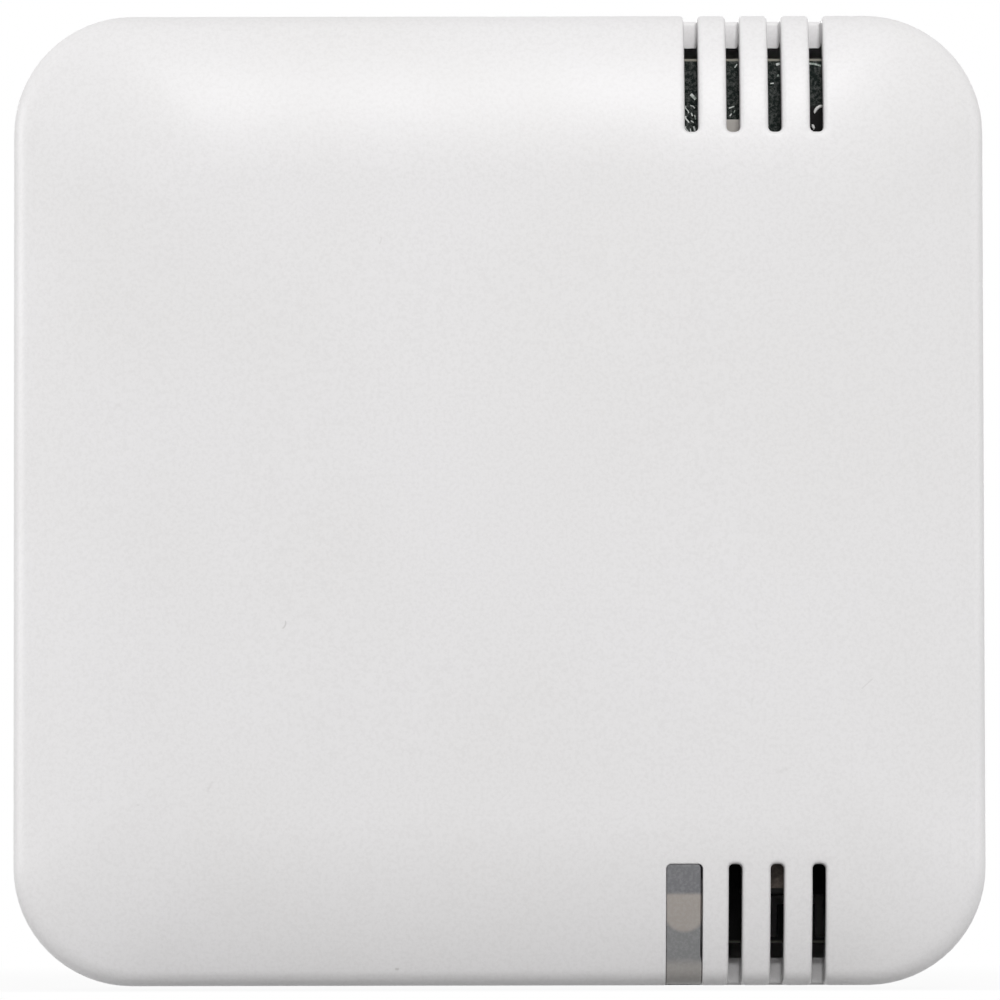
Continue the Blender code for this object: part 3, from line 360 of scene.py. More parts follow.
def slot_columns(half, way_points):
    """Points of a slot's outline in order: x, its growth, share of the way, step, its growth.

    The outline is a rounded rectangle in x and in the way along the skin. It starts at the left of the
    inner end and runs to the right, up, back and down. Its left side mirrors its right side.
    """
    inner, ledge = VENT_END_RADIUS, VENT_LEDGE_RADIUS
    angle = np.linspace(0, math.pi / 2, 7)
    flat = np.linspace(-1, 1, 5)[1:-1]
    shares = np.asarray(way_points)
    one, none = np.ones_like(angle), np.zeros_like(angle)
    sin, cos = np.sin(angle), np.cos(angle)
    end_edge = [flat * (half - inner), flat * 0, flat * 0, flat * 0, flat * 0 - 1]
    end_right = [half - inner + inner * sin, sin, none, inner - inner * cos, -cos]
    right = [shares * 0 + half, shares * 0 + 1, shares, shares * 0, shares * 0]
    ledge_right = [half - ledge + ledge * cos, cos, one, ledge * sin - ledge, sin]
    ledge_edge = [-flat * (half - ledge), flat * 0, flat * 0 + 1, flat * 0, flat * 0 + 1]
    right_side = np.concatenate([end_right, right, ledge_right], axis=1)
    left_side = right_side[:, ::-1] * np.array([-1, -1, 1, 1, 1])[:, None]
    return np.concatenate([end_edge, right_side, ledge_edge, left_side], axis=1)


def slot_loop(rows, centre_x, columns, grow, sink=0.0):
    """The slot's outline on a skin, grown outwards and sunk along the skin's normal."""
    x, grow_x, share, step, grow_step = columns
    args = (centre_x + x + grow * grow_x, share, step + grow * grow_step)
    return on_skin(rows, *args) - sink * skin_normal(rows, *args) if sink else on_skin(rows, *args)


def bow(radius, steps):
    """Points of a quarter circle, as how far each lies in from its two tangents."""
    angles = np.linspace(0, math.pi / 2, steps + 1)
    return [(radius * (1 - math.sin(angle)), radius * (1 - math.cos(angle))) for angle in angles]


def lip_loops(rows, centre_x, columns, radius):
    """Loops of a rounded lip: a quarter circle from the skin down into the slot's wall."""
    return [slot_loop(rows, centre_x, columns, out, sink) for out, sink in bow(radius, 5)]


class Skin:
    """A mesh in the making: points, and faces as lists of point numbers."""

    def __init__(self):
        self.points, self.faces, self.count = [], [], 0

    def add(self, points):
        """Adds points of any grid shape and gives their numbers in the same shape."""
        points = np.asarray(points, float)
        numbers = self.count + np.arange(points[..., 0].size).reshape(points.shape[:-1])
        self.points.append(points.reshape(-1, 3))
        self.count += numbers.size
        return numbers

    def put(self, faces, flip=False):
        faces = np.asarray(faces)
        self.faces += (faces[:, ::-1] if flip else faces).tolist()

    def grid(self, numbers, closed=False, keep=None, flip=False):
        """Quads between neighbouring rows and columns, which face the viewer who sees the rows run
        outwards and the columns run anticlockwise."""
        if closed:
            numbers = np.concatenate([numbers, numbers[:, :1]], axis=1)
        quads = np.stack([numbers[:-1, :-1], numbers[1:, :-1], numbers[1:, 1:], numbers[:-1, 1:]], axis=-1)
        self.put(quads.reshape(-1, 4) if keep is None else quads[keep], flip)

    def cut(self, numbers, keep, rows, columns, flip=False):
        """Takes the cells between two rows and two columns out of keep and closes the cut's sides, for a
        grid that runs out over one face of a wall and back over the other."""
        (top, bottom), (first, last) = rows, columns
        keep[top:bottom, first:last] = False
        self.grid(numbers[[top, bottom], first : last + 1], flip=flip)
        self.put([numbers[top : bottom + 1, first]], flip)
        self.put([numbers[top : bottom + 1, last][::-1]], flip)

    def fan(self, centre, ring, flip=False):
        """Triangles from one point to a closed ring."""
        middle = np.full(len(ring), self.add([centre])[0])
        self.put(np.stack([middle, ring, np.roll(ring, -1)], axis=-1), flip)

    def fill(self, edges, inner, flat, flip=False):
        """Triangles that fill the closed edges and pass through the inner points.

        flat puts a point in the plane in which the edges and points are triangulated. A triangle stays
        when a ray from its middle crosses an odd number of edges.
        """
        known = np.concatenate(self.points)
        used, place = np.unique(edges, return_inverse=True)
        place = place.reshape(-1, 2)

        def level_off(points):
            return (flat(points) / MM).astype(np.float32).astype(float)

        border = level_off(known[used])
        starts, ends = border[place[:, 0]], border[place[:, 1]]

        def inside(spots):
            level = (starts[None, :, 1] > spots[:, None, 1]) != (ends[None, :, 1] > spots[:, None, 1])
            rise = ends[:, 1] - starts[:, 1]
            run = (ends[:, 0] - starts[:, 0]) / np.where(rise == 0, 1, rise)
            meets = starts[None, :, 0] + (spots[:, None, 1] - starts[None, :, 1]) * run
            return (level & (spots[:, None, 0] < meets)).sum(axis=1) % 2 == 1

        spots = level_off(inner)
        along = ends - starts
        part = ((spots[:, None] - starts) * along).sum(axis=-1) / (along**2).sum(axis=-1)
        nearest = starts + np.clip(part, 0, 1)[..., None] * along
        gap = np.linalg.norm(spots[:, None] - nearest, axis=-1).min(axis=1)
        chosen = inside(spots) & (gap > 0.4 * COVER_GRID / MM)
        numbers = np.concatenate([used, self.add(inner[chosen])])
        spots = np.concatenate([border, spots[chosen]])
        found = delaunay_2d_cdt([Vector(p) for p in spots], place.tolist(), [], 0, 1e-9)
        origin = np.array([first[0] for first in found[3]])
        triangles = origin[np.array(found[2])]
        triangles = triangles[inside(spots[triangles].mean(axis=1))]
        a, b, c = (spots[triangles[:, k]] for k in range(3))
        turned = (b[:, 0] - a[:, 0]) * (c[:, 1] - a[:, 1]) < (b[:, 1] - a[:, 1]) * (c[:, 0] - a[:, 0])
        triangles[turned] = triangles[turned][:, ::-1]
        self.put(numbers[triangles], flip)

    def piece(self, name, material, smooth=35):
        """The finished object in its material, with edges sharper than smooth degrees kept sharp."""
        mesh = bpy.data.meshes.new(name)
        mesh.from_pydata(np.concatenate(self.points).tolist(), [], self.faces)
        mesh.validate()
        mesh.shade_smooth()
        mesh.set_sharp_from_angle(angle=math.radians(smooth))
        mesh.materials.append(material)
        return add_object(name, mesh)


def ring_edges(numbers):
    """Edges of a closed ring of points."""
    return np.stack([numbers, np.roll(numbers, -1)], axis=-1)


def unrolled(way):
    """Looks at the upper (way 1) or lower (way -1) rim from 45 degrees, where front and side both show."""
    return lambda points: np.stack([points[:, 0], way * points[:, 2] + points[:, 1]], axis=-1)


def mirrored(points, way):
    return points * np.array([1, 1, way])


def nearest(values, wanted):
    """Number of the value that is nearest to the wanted one."""
    return int(np.abs(values - wanted).argmin())


def side_levels(count, reaches):
    """Levels from -1 to 1 along a straight side, with the nearest ones moved to both ends of each reach."""
    levels = np.linspace(-1, 1, count)
    for reach in reaches:
        for level in (-reach / STRAIGHT_HALF, reach / STRAIGHT_HALF):
            levels[nearest(levels, level)] = level
    return levels


def columns_at(levels, quarter, ends):
    """Numbers of the columns of one side that lie at both ends along it."""
    start = quarter * (len(levels) + CORNER_STEPS - 1)
    return [start + nearest(levels, end / STRAIGHT_HALF) for end in ends]


# Release notch in the lower rim, and pockets for the snap hooks in the left and right walls
NOTCH_HALF = 3.5 * MM
NOTCH_Y = -3.6 * MM
POCKET_X = 41.4 * MM
POCKET_Z = 14.0 * MM
POCKET_HALF = 4.4 * MM
POCKET_YS = (-4.8 * MM, -7.7 * MM)
POCKET_ENDS = [(middle - POCKET_HALF, middle + POCKET_HALF) for middle in (-POCKET_Z, POCKET_Z)]

# Rows of the two skins: the outer one, the rim and the inner one, which goes back to the middle
side_ys = [-19.6, -18.2, -16.8, -15.4, -14.2, -13.2, -11.5, -9.6, -7.7, -6.2, -4.8, -3.6, -2.45]
side_ys = np.array(side_ys) * MM
outer_rows = skin_rows(0.0, (14, 24, 14), side_ys)
inner_rows = skin_rows(COVER_WALL, (8, 14, 5), side_ys)
turn = np.array([0, math.pi / 4, math.pi / 2])[1:]
rim_in = RIM_ROUND * (1 - np.cos(turn))
rim_y = side_ys[-1] + RIM_ROUND * np.sin(turn)
rim_rows = (HALF_SIDE - rim_in, CORNER_RADIUS - rim_in, rim_y)
inner_rim = (HALF_SIDE - COVER_WALL + rim_in[::-1], CORNER_RADIUS - COVER_WALL + rim_in[::-1], rim_y[::-1])
all_rows = [
    np.concatenate([outer, rim, back, inner[::-1]])
    for outer, rim, back, inner in zip(outer_rows, rim_rows, inner_rim, inner_rows)
]
levels = side_levels(29, (NOTCH_HALF, *POCKET_ENDS[1]))

cover = Skin()
points = ring_points(*all_rows, ring_columns(levels))
numbers = cover.add(points)
row_count, column_count = numbers.shape
last_outer = len(outer_rows[0])
first_inner = row_count - len(inner_rows[0])
keep = np.ones((row_count - 1, column_count), bool)
cover.fan((0, FRONT_Y, 0), numbers[0])
cover.fan((0, FRONT_Y + COVER_WALL, 0), numbers[-1], flip=True)

notch_rows = (nearest(outer_rows[2], NOTCH_Y), row_count - 1 - nearest(inner_rows[2], NOTCH_Y))
cover.cut(numbers, keep, notch_rows, columns_at(levels, 3, (-NOTCH_HALF, NOTCH_HALF)))
pocket_rows = [row_count - 1 - nearest(inner_rows[2], y) for y in POCKET_YS]
for quarter in (0, 2):
    for ends in POCKET_ENDS:
        low, high = columns_at(levels, quarter, ends)
        keep[pocket_rows[0] : pocket_rows[1], low:high] = False
        block = points[pocket_rows[0] : pocket_rows[1] + 1, low : high + 1].copy()
        block[..., 0] = math.copysign(POCKET_X, block[0, 0, 0])
        floor_numbers = cover.add(block)
        mouth = numbers[pocket_rows[0] : pocket_rows[1] + 1, low : high + 1]
        cover.grid(floor_numbers)
        cover.grid(np.stack([mouth[0], floor_numbers[0]]))
        cover.grid(np.stack([floor_numbers[-1], mouth[-1]]))
        cover.grid(np.stack([mouth[:, 0], floor_numbers[:, 0]], axis=1))
        cover.grid(np.stack([floor_numbers[:, -1], mouth[:, -1]], axis=1))


# Round the slots both skins are filled with triangles. This zone reaches ZONE_INWARD past the slots' inner
# ends, ZONE_BACK behind their ledges, ZONE_LEFT to their left and up to ZONE_RIGHT_X. The points offered for
# the fill reach a little further.
ZONE_INWARD = 1.3 * MM
ZONE_BACK = 1.4 * MM
ZONE_LEFT = 1.3 * MM
ZONE_RIGHT_X = 30.2 * MM
FILL_BEYOND = 2.0 * MM
FILL_LEFT = 3.3 * MM
ROW_SPARE = 0.3 * MM
FINE_INWARD = 1.55 * MM


def grid_part(way, zone_x, rows):
    """Cells of the grid to leave out round the slots: those that touch the slots' zone."""
    low_x, high_x = zone_x
    zone = (points[..., 0] > low_x) & (points[..., 0] < high_x)
    zone &= (way * points[..., 2] > VENT_END_Z - ZONE_INWARD) & (points[..., 1] < VENT_LEDGE_Y + ZONE_BACK)
    zone &= (np.arange(row_count) >= rows[0])[:, None] & (np.arange(row_count) < rows[1])[:, None]
    touched = zone | np.roll(zone, -1, axis=1)
    return touched[:-1] | touched[1:]


def open_edges(cells):
    """Edges between the cells left out and the cells kept."""
    padded = np.pad(cells, ((1, 1), (0, 0)))
    wrapped = np.concatenate([numbers, numbers[:, :1]], axis=1)
    upright = np.argwhere(cells != np.roll(cells, 1, axis=1))
    level = np.argwhere(padded[1:] != padded[:-1])
    sides = [wrapped[upright[:, 0], upright[:, 1]], wrapped[upright[:, 0] + 1, upright[:, 1]]]
    ends = [wrapped[level[:, 0], level[:, 1]], wrapped[level[:, 0], level[:, 1] + 1]]
    return np.concatenate([np.stack(sides, axis=-1), np.stack(ends, axis=-1)])


def zone_points(rows, xs, way):
    """Points of a skin at every x in xs on every row that reaches the slots' zone."""
    near = (rows[0] > xs.max() + ROW_SPARE) & (rows[0] > VENT_END_Z - FILL_BEYOND)
    near &= rows[2] < VENT_LEDGE_Y + FILL_BEYOND
    rows = [values[near] for values in rows]
    z = across(rows, xs)
    y = np.broadcast_to(rows[2], z.shape)
    x = np.broadcast_to(xs[:, None], z.shape)
    return mirrored(np.stack([x, y, z], axis=-1).reshape(-1, 3), way)


def fine_rows(offset):
    """Closely spaced rows of a skin from just inside the vents' inner ends to behind their ledges."""
    rows = skin_rows(offset, (3, 160, 60), np.linspace(-21.0, -11.0, 81) * MM)
    near = rows[0] > VENT_END_Z - FINE_INWARD
    return [values[near] for values in rows]


def spread(stops, step):
    """Values between each two stops, at most step apart, without the stops."""
    parts = [
        np.linspace(low, high, max(2, math.ceil((high - low) / step)) + 1)[1:-1]
        for low, high in zip(stops[:-1], stops[1:])
    ]
    return np.concatenate(parts)


# Points of a slot's sides, as shares of its way: where the outer rows cross them. Rows in front of STEEP_Y
# are found by their height, and rows behind it by their y.
STRAIGHT_X = 20.0 * MM
STEEP_Y = -20.5 * MM
FIRST_WAY = 0.05
LAST_WAY = 0.97
END_WAY = 0.985
WAY_STEP = 0.05
outer_fine, inner_fine = fine_rows(0.0), fine_rows(COVER_WALL)
near = (outer_rows[0] > VENT_END_Z) & (outer_rows[2] < VENT_LEDGE_Y)
straight_z = across(outer_fine, np.array([STRAIGHT_X]))[0]
fine_way = np.concatenate([[0], np.cumsum(np.hypot(np.diff(straight_z), np.diff(outer_fine[2])))])
way_start = np.interp(VENT_END_Z, straight_z, fine_way)
way_end = np.interp(VENT_LEDGE_Y, outer_fine[2], fine_way)
row_ways = np.interp(outer_rows[0][near], straight_z, fine_way)
side_ways = np.interp(outer_rows[2][near], outer_fine[2], fine_way)
row_ways = np.where(outer_rows[2][near] > STEEP_Y, side_ways, row_ways)
way_points = (row_ways - way_start) / (way_end - way_start)
way_points = way_points[(way_points > FIRST_WAY) & (way_points < LAST_WAY)]
way_points = np.sort(np.concatenate([way_points, spread([way_points[-1], END_WAY], WAY_STEP)]))

vents = [(x, VENT_WIDTH, VENT_LIP) for x in VENT_XS]
slots = {1: vents, -1: [(WINDOW_X, WINDOW_WIDTH, WINDOW_LIP), *vents[1:]]}
for way in (1, -1):
    flip = way < 0
    zone_x = (slots[way][0][0] - slots[way][0][1] / 2 - ZONE_LEFT, ZONE_RIGHT_X)
    stops = [zone_x[0] - FILL_LEFT]
    outer_edges, inner_edges = [], []
    for centre_x, width, lip in slots[way]:
        outline = slot_columns(width / 2, way_points)
        loops = lip_loops(outer_fine, centre_x, outline, lip)
        loops.append(slot_loop(inner_fine, centre_x, outline, 0.0))
        rings = cover.add(mirrored(np.stack(loops), way))
        cover.grid(rings[:, ::-1], closed=True, flip=flip)
        outer_edges.append(ring_edges(rings[0]))
        inner_edges.append(ring_edges(rings[-1]))
        stops += [centre_x - width / 2 - lip, centre_x + width / 2 + lip]
    xs = spread([*stops, ZONE_RIGHT_X], COVER_GRID)
    for rows, edges, row_range, inwards in (
        (outer_rows, outer_edges, (0, last_outer), False),
        (inner_rows, inner_edges, (first_inner, row_count), True),
    ):
        cells = grid_part(way, zone_x, row_range)
        keep &= ~cells
        edges.append(open_edges(cells))
        cover.fill(np.concatenate(edges), zone_points(rows, xs, way), unrolled(way), flip != inwards)
cover.grid(numbers, closed=True, keep=keep)


def skin_y(rows, x, z):
    """y of a skin at points (x, z), between the two rows whose rounded squares hold and miss the point."""
    half, radius, y = rows
    core = half - radius
    over_x = np.maximum(np.abs(x)[:, None] - core, 0)
    over_z = np.maximum(np.abs(z)[:, None] - core, 0)
    side = np.maximum(np.abs(x), np.abs(z))[:, None] - half
    away = np.where((over_x > 0) & (over_z > 0), np.hypot(over_x, over_z) - radius, side)
    place = np.clip((away > 0).sum(axis=1), 1, len(half) - 1)
    pick = np.arange(len(x))
    before, after = away[pick, place - 1], away[pick, place]
    part = np.clip(before / np.where(before == after, 1, before - after), 0, 1)
    return y[place - 1] * (1 - part) + y[place] * part


def bar(skin, sections):
    """A closed solid through like sections. Its volume, the sum of a . (b x c) over its triangles, tells
    which way its faces have to turn."""
    sections = np.asarray(sections, float)
    a = sections - sections.mean(axis=(0, 1))
    b = np.roll(a, -1, axis=1)
    volume = np.sum(np.cross(a[:-1], a[1:]) * b[1:]) + np.sum(np.cross(a[:-1], b[1:]) * b[:-1])
    for end, way in ((a[0], 1), (a[-1], -1)):
        volume += way * np.sum(np.cross(end[0], end[1:-1]) * end[2:])
    inside_out = volume < 0
    numbers = skin.add(sections)
    skin.grid(numbers, closed=True, flip=inside_out)
    skin.put([numbers[0]], inside_out)
    skin.put([numbers[-1][::-1]], inside_out)


def turned(skin, profile, x, z, steps=40, lay=None, open_back=False):
    """A solid turned about a line along Y at (x, z), from (radius, y) points that run from its front to
    its back. Flat ends close it, unless its back is left open. lay moves the points elsewhere."""
    angle = np.arange(steps) * 2 * math.pi / steps
    radius, y = np.array(profile).T
    ring_x = x + radius[:, None] * np.cos(angle)
    ring_z = z + radius[:, None] * np.sin(angle)
    rings = np.stack([ring_x, np.broadcast_to(y[:, None], ring_x.shape), ring_z], axis=-1)
    ends = np.array([(x, y[0], z), (x, y[-1], z)])
    if lay:
        rings, ends = lay(rings), lay(ends)
    numbers = skin.add(rings)
    skin.grid(numbers, closed=True)
    skin.fan(ends[0], numbers[0])
    if not open_back:
        skin.fan(ends[1], numbers[-1], flip=True)
    return numbers


# Inside the cover: four screw posts with two gussets each, and six ribs that centre the board
POST_XZ = 34.0 * MM
POST_SOFT = 0.12 * MM
POST_TIP_Y = -19.4 * MM
POST_TIP_RADIUS = 2.5 * MM
POST_TAPER = 0.5 / 6.61
PILOT_RADIUS = 1.1 * MM
PILOT_END_Y = -22.8 * MM
GUSSET_Y = -20.6 * MM
GUSSET_HALF = 0.5 * MM
GUSSET_REACH = 40.2 * MM
RIB_ZS = (-27.0 * MM, 0.0, 27.0 * MM)
RIB_HALF = 0.6 * MM
RIB_GAP = 0.3 * MM
BOARD_HALF = 39.08 * MM
BOARD_FRONT_Y = -19.3 * MM
BOARD_BACK_Y = -17.7 * MM
SUNK = 0.7 * MM
WALL_FOOT = 41.4 * MM
inner_surface = skin_rows(COVER_WALL, (20, 60, 30), np.linspace(-21.0, -11.0, 11) * MM)
for way_x in (-1, 1):
    for way_z in (-1, 1):
        x, z = way_x * POST_XZ, way_z * POST_XZ
        foot_y = skin_y(inner_surface, np.array([x]), np.array([z]))[0] - SUNK
        foot_radius = POST_TIP_RADIUS + POST_TAPER * (POST_TIP_Y - foot_y)
        profile = [
            (foot_radius, foot_y),
            (POST_TIP_RADIUS, POST_TIP_Y - POST_SOFT),
            (POST_TIP_RADIUS - POST_SOFT, POST_TIP_Y),
            (PILOT_RADIUS + POST_SOFT, POST_TIP_Y),
            (PILOT_RADIUS, POST_TIP_Y - POST_SOFT),
            (PILOT_RADIUS, PILOT_END_Y),
        ]
        turned(cover, profile, x, z)
        run = np.linspace(POST_XZ, WALL_FOOT, 10)
        at_post = np.full_like(run, POST_XZ)
        low = skin_y(inner_surface, np.minimum(run, GUSSET_REACH), at_post) - SUNK
        high = np.full_like(run, GUSSET_Y)
        for swap in (False, True):
            sections = []
            for way, y in ((-1, low), (-1, high), (1, high), (1, low)):
                across_run = at_post + way * GUSSET_HALF
                px, pz = (across_run, run) if swap else (run, across_run)
                sections.append(np.stack([way_x * px, y, way_z * pz], axis=-1))
            bar(cover, np.stack(sections, axis=1))
    for z in RIB_ZS:
        inner_x = BOARD_HALF + RIB_GAP
        low_y = skin_y(inner_surface, np.array([inner_x]), np.array([z]))[0] - SUNK
        outline = [(inner_x, low_y), (inner_x, BOARD_BACK_Y), (WALL_FOOT, BOARD_BACK_Y), (WALL_FOOT, low_y)]
        bar(cover, [[(way_x * px, y, z + side) for px, y in outline] for side in (-RIB_HALF, RIB_HALF)])


ORIGIN = (0.0, 0.0, 0.0)


def blend_colour(tree, share, first, second):
    """A colour between first and second, which are colours or sockets."""
    node = tree.nodes.new("ShaderNodeMix")
    node.data_type = "RGBA"
    inputs = [socket for socket in node.inputs if socket.type == "RGBA"]
    tree.links.new(share, node.inputs["Factor"])
    for socket, value in zip(inputs, (first, second)):
        if isinstance(value, bpy.types.NodeSocket):
            tree.links.new(value, socket)
        else:
            socket.default_value = (*value, 1.0)
    return next(socket for socket in node.outputs if socket.type == "RGBA")


def group(name, outputs, **inputs):
    """An empty node group, where an input that is given ORIGIN is a vector and any other a number."""
    made = bpy.data.node_groups.new(name, "ShaderNodeTree")
    for label, value in inputs.items():
        kind = "NodeSocketVector" if value is ORIGIN else "NodeSocketFloat"
        made.interface.new_socket(label, in_out="INPUT", socket_type=kind).default_value = value
    for label in outputs:
        made.interface.new_socket(label, in_out="OUTPUT", socket_type="NodeSocketFloat")
    return made, made.nodes.new("NodeGroupInput").outputs, made.nodes.new("NodeGroupOutput").inputs


def use_group(tree, made, **values):
    """A node of the group with its inputs set or linked, which gives its outputs."""
    node = tree.nodes.new("ShaderNodeGroup")
    node.node_tree = made
    for label, value in values.items():
        if isinstance(value, bpy.types.NodeSocket):
            tree.links.new(value, node.inputs[label])
        else:
            node.inputs[label].default_value = value
    return node.outputs


def bump(tree, target, height, distance, strength=1.0):
    """Raises the surface of target, a shader or another Bump node, by height times distance."""
    node = tree.nodes.new("ShaderNodeBump")
    node.inputs["Strength"].default_value = strength
    node.inputs["Distance"].default_value = distance
    tree.links.new(height, node.inputs["Height"])
    tree.links.new(node.outputs["Normal"], target.inputs["Normal"])


def dress(tree, shader, colour, gloss, height, depth, strength):
    """Links a shader's colour and roughness, and raises its surface by height times depth."""
    tree.links.new(colour, shader.inputs["Base Color"])
    tree.links.new(gloss, shader.inputs["Roughness"])
    bump(tree, shader, height, depth, strength)


def cloud(tree, place, scale, detail, roughness=0.5):
    """Noise in place, with scale waves to a metre."""
    node = tree.nodes.new("ShaderNodeTexNoise")
    node.inputs["Detail"].default_value = detail
    node.inputs["Roughness"].default_value = roughness
    tree.links.new(place, node.inputs["Vector"])
    tree.links.new(scale, node.inputs["Scale"])
    return node.outputs["Fac"]


# The values over which a tone, one noise, and a gloss, the sum of two, are spread
TONE_SPAN = (0.3, 0.7)
GLOSS_SPAN = (0.7, 1.3)

# Moulded grain: the fine pitting that a spark-eroded mould leaves, with slow changes of tone and gloss.
# Pits and Tone say how many pits and patches go to a metre.
outputs = ("Height", "Tone", "Gloss")
grain_group, given, gives = group("moulded_grain", outputs, Place=ORIGIN, Pits=3200.0, Tone=60.0)
pits = cloud(grain_group, given["Place"], given["Pits"], 3.0, 0.62)
tones = cloud(grain_group, given["Place"], given["Tone"], 2.0)
grain_group.links.new(pits, gives["Height"])
grain_group.links.new(tones, gives["Tone"])
grain_group.links.new(math_node(grain_group, "ADD", pits, tones), gives["Gloss"])


def length_of(tree, a, b):
    """The root of a squared plus b squared."""
    squares = [math_node(tree, "MULTIPLY", side, side) for side in (a, b)]
    return math_node(tree, "SQRT", math_node(tree, "ADD", *squares))


def from_middle(tree, given):
    """The place of a group's input, counted from its middle."""
    node = tree.nodes.new("ShaderNodeVectorMath")
    node.operation = "SUBTRACT"
    tree.links.new(given["Place"], node.inputs[0])
    tree.links.new(given["Middle"], node.inputs[1])
    return node.outputs["Vector"]


# Scuff: a short rubbed line on the front, given by its middle, turn, length, width and bend
sizes = {"Turn": 0.0, "Length": 1.0 * MM, "Width": 0.1 * MM, "Bend": 0.0}
scuff_group, given, gives = group("scuff", ["Mask"], Place=ORIGIN, Middle=ORIGIN, **sizes)
rotated = scuff_group.nodes.new("ShaderNodeVectorRotate")
rotated.rotation_type = "Y_AXIS"
scuff_group.links.new(from_middle(scuff_group, given), rotated.inputs["Vector"])
scuff_group.links.new(given["Turn"], rotated.inputs["Angle"])
along = axes(scuff_group, rotated.outputs["Vector"])
bowed = joined(scuff_group, "MULTIPLY", [along["X"], along["X"], given["Bend"]])
across_line = math_node(scuff_group, "SUBTRACT", along["Z"], bowed)
half_length = math_node(scuff_group, "MULTIPLY", given["Length"], 0.5)
past_end = math_node(scuff_group, "SUBTRACT", math_node(scuff_group, "ABSOLUTE", along["X"]), half_length)
past_end = math_node(scuff_group, "MAXIMUM", past_end, 0.0)
reach = length_of(scuff_group, past_end, across_line)
share = math_node(scuff_group, "DIVIDE", reach, given["Width"])
scuff_group.links.new(ramp(scuff_group, share, 1.0, 0.0), gives["Mask"])

COVER_WHITE = (0.80, 0.79, 0.795)
COVER_TONE = (0.785, 0.775, 0.775)
SCUFF_GREY = (0.42, 0.40, 0.39)
COVER_PITS = 3000.0
COVER_PATCHES = 45.0
COVER_GLOSS = (0.38, 0.46)
SPECK_SPAN = (0.62, 0.30)
SPECK_SHARE = 0.10
SCUFF_YS = (-19.0 * MM, -20.0 * MM)
PIT_DEPTH = 0.03 * MM
# x and z in millimetres, turn in degrees, length and width in millimetres, bend to a metre, depth of tone
SCUFFS = (
    (-10.3, 22.5, 75, 0.55, 0.10, 700, 0.22),
    (-18.7, -11.2, 70, 0.60, 0.12, 900, 0.45),
    (-25.3, -25.3, 60, 0.80, 0.22, 0, 0.14),
    (-31.6, -26.9, 0, 0.10, 0.16, 0, 0.22),
    (32.2, -16.4, 42, 1.20, 0.10, 0, 0.24),
    (24.7, -24.0, 20, 0.90, 0.30, 0, 0.10),
    (-33.4, 8.1, 0, 0.30, 0.25, 0, 0.10),
    (22.5, -11.4, 110, 0.40, 0.20, 0, 0.10),
    (22.1, -17.9, 80, 0.40, 0.20, 0, 0.10),
    (-9.0, -41.3, 0, 0.15, 0.18, 0, 0.50),
)
white_plastic, tree, shader = finish("white_plastic", COVER_WHITE, 0.42)
place = object_place(tree)
grain = use_group(tree, grain_group, Place=place, Pits=COVER_PITS, Tone=COVER_PATCHES)
colour = blend_colour(tree, ramp(tree, grain["Tone"], *TONE_SPAN), COVER_WHITE, COVER_TONE)
speck = math_node(tree, "MULTIPLY", ramp(tree, grain["Height"], *SPECK_SPAN), SPECK_SHARE)
colour = blend_colour(tree, speck, colour, SCUFF_GREY)
marks = []
for x, z, turn, length, width, bend, depth in SCUFFS:
    mark = use_group(
        tree,
        scuff_group,
        Place=place,
        Middle=(x * MM, FRONT_Y, z * MM),
        Turn=math.radians(turn),
        Length=length * MM,
        Width=width * MM,
        Bend=float(bend),
    )
    marks.append(math_node(tree, "MULTIPLY", mark["Mask"], depth))
on_front = ramp(tree, axes(tree, place)["Y"], *SCUFF_YS)
rubbed = math_node(tree, "MULTIPLY", joined(tree, "MAXIMUM", marks), on_front)
colour = blend_colour(tree, rubbed, colour, SCUFF_GREY)
gloss = ramp(tree, grain["Gloss"], *GLOSS_SPAN, *COVER_GLOSS)
dress(tree, shader, colour, gloss, grain["Height"], PIT_DEPTH, 0.35)

front_cover = cover.piece("cover_shell", white_plastic)
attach(front_cover, "root")
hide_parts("front_cover")

# Light window: one frosted smoke-grey acrylic moulding. Its plug fills the wide lower slot a little below
# the cover's skin, and its flange lies against the inside of the cover, where it is glued.
WINDOW_RECESS = 0.12 * MM
WINDOW_CLEARANCE = 0.12 * MM
WINDOW_SEAT = COVER_WALL + WINDOW_CLEARANCE
WINDOW_FLANGE = 1.0 * MM
WINDOW_OVERLAP = 1.2 * MM
WINDOW_EDGE = 0.07 * MM
PLUG_X = WINDOW_X - 0.08 * MM
PLUG_TIGHT = 0.14 * MM
PLUG_LOW_STEP = 0.05 * MM
PLUG_HIGH_STEP = -0.10 * MM
window = Skin()
outline = slot_columns(WINDOW_WIDTH / 2, way_points)
low_end = outline[2] > 0.5
outline[0] += np.where(low_end & (outline[0] > 0), PLUG_TIGHT, 0)
outline[3] += np.where(low_end, PLUG_LOW_STEP, PLUG_HIGH_STEP)
face_fine, seat_fine = fine_rows(WINDOW_RECESS), fine_rows(WINDOW_SEAT)
back_fine = fine_rows(WINDOW_SEAT + WINDOW_FLANGE)
loops = [
    slot_loop(face_fine, PLUG_X, outline, -WINDOW_CLEARANCE - out, sink)
    for out, sink in bow(WINDOW_EDGE, 4)
]
loops.append(slot_loop(seat_fine, PLUG_X, outline, -WINDOW_CLEARANCE))
loops.append(slot_loop(seat_fine, PLUG_X, outline, WINDOW_OVERLAP))
loops.append(slot_loop(back_fine, PLUG_X, outline, WINDOW_OVERLAP))
rings = window.add(mirrored(np.stack(loops), -1))
window.grid(rings, closed=True, flip=True)
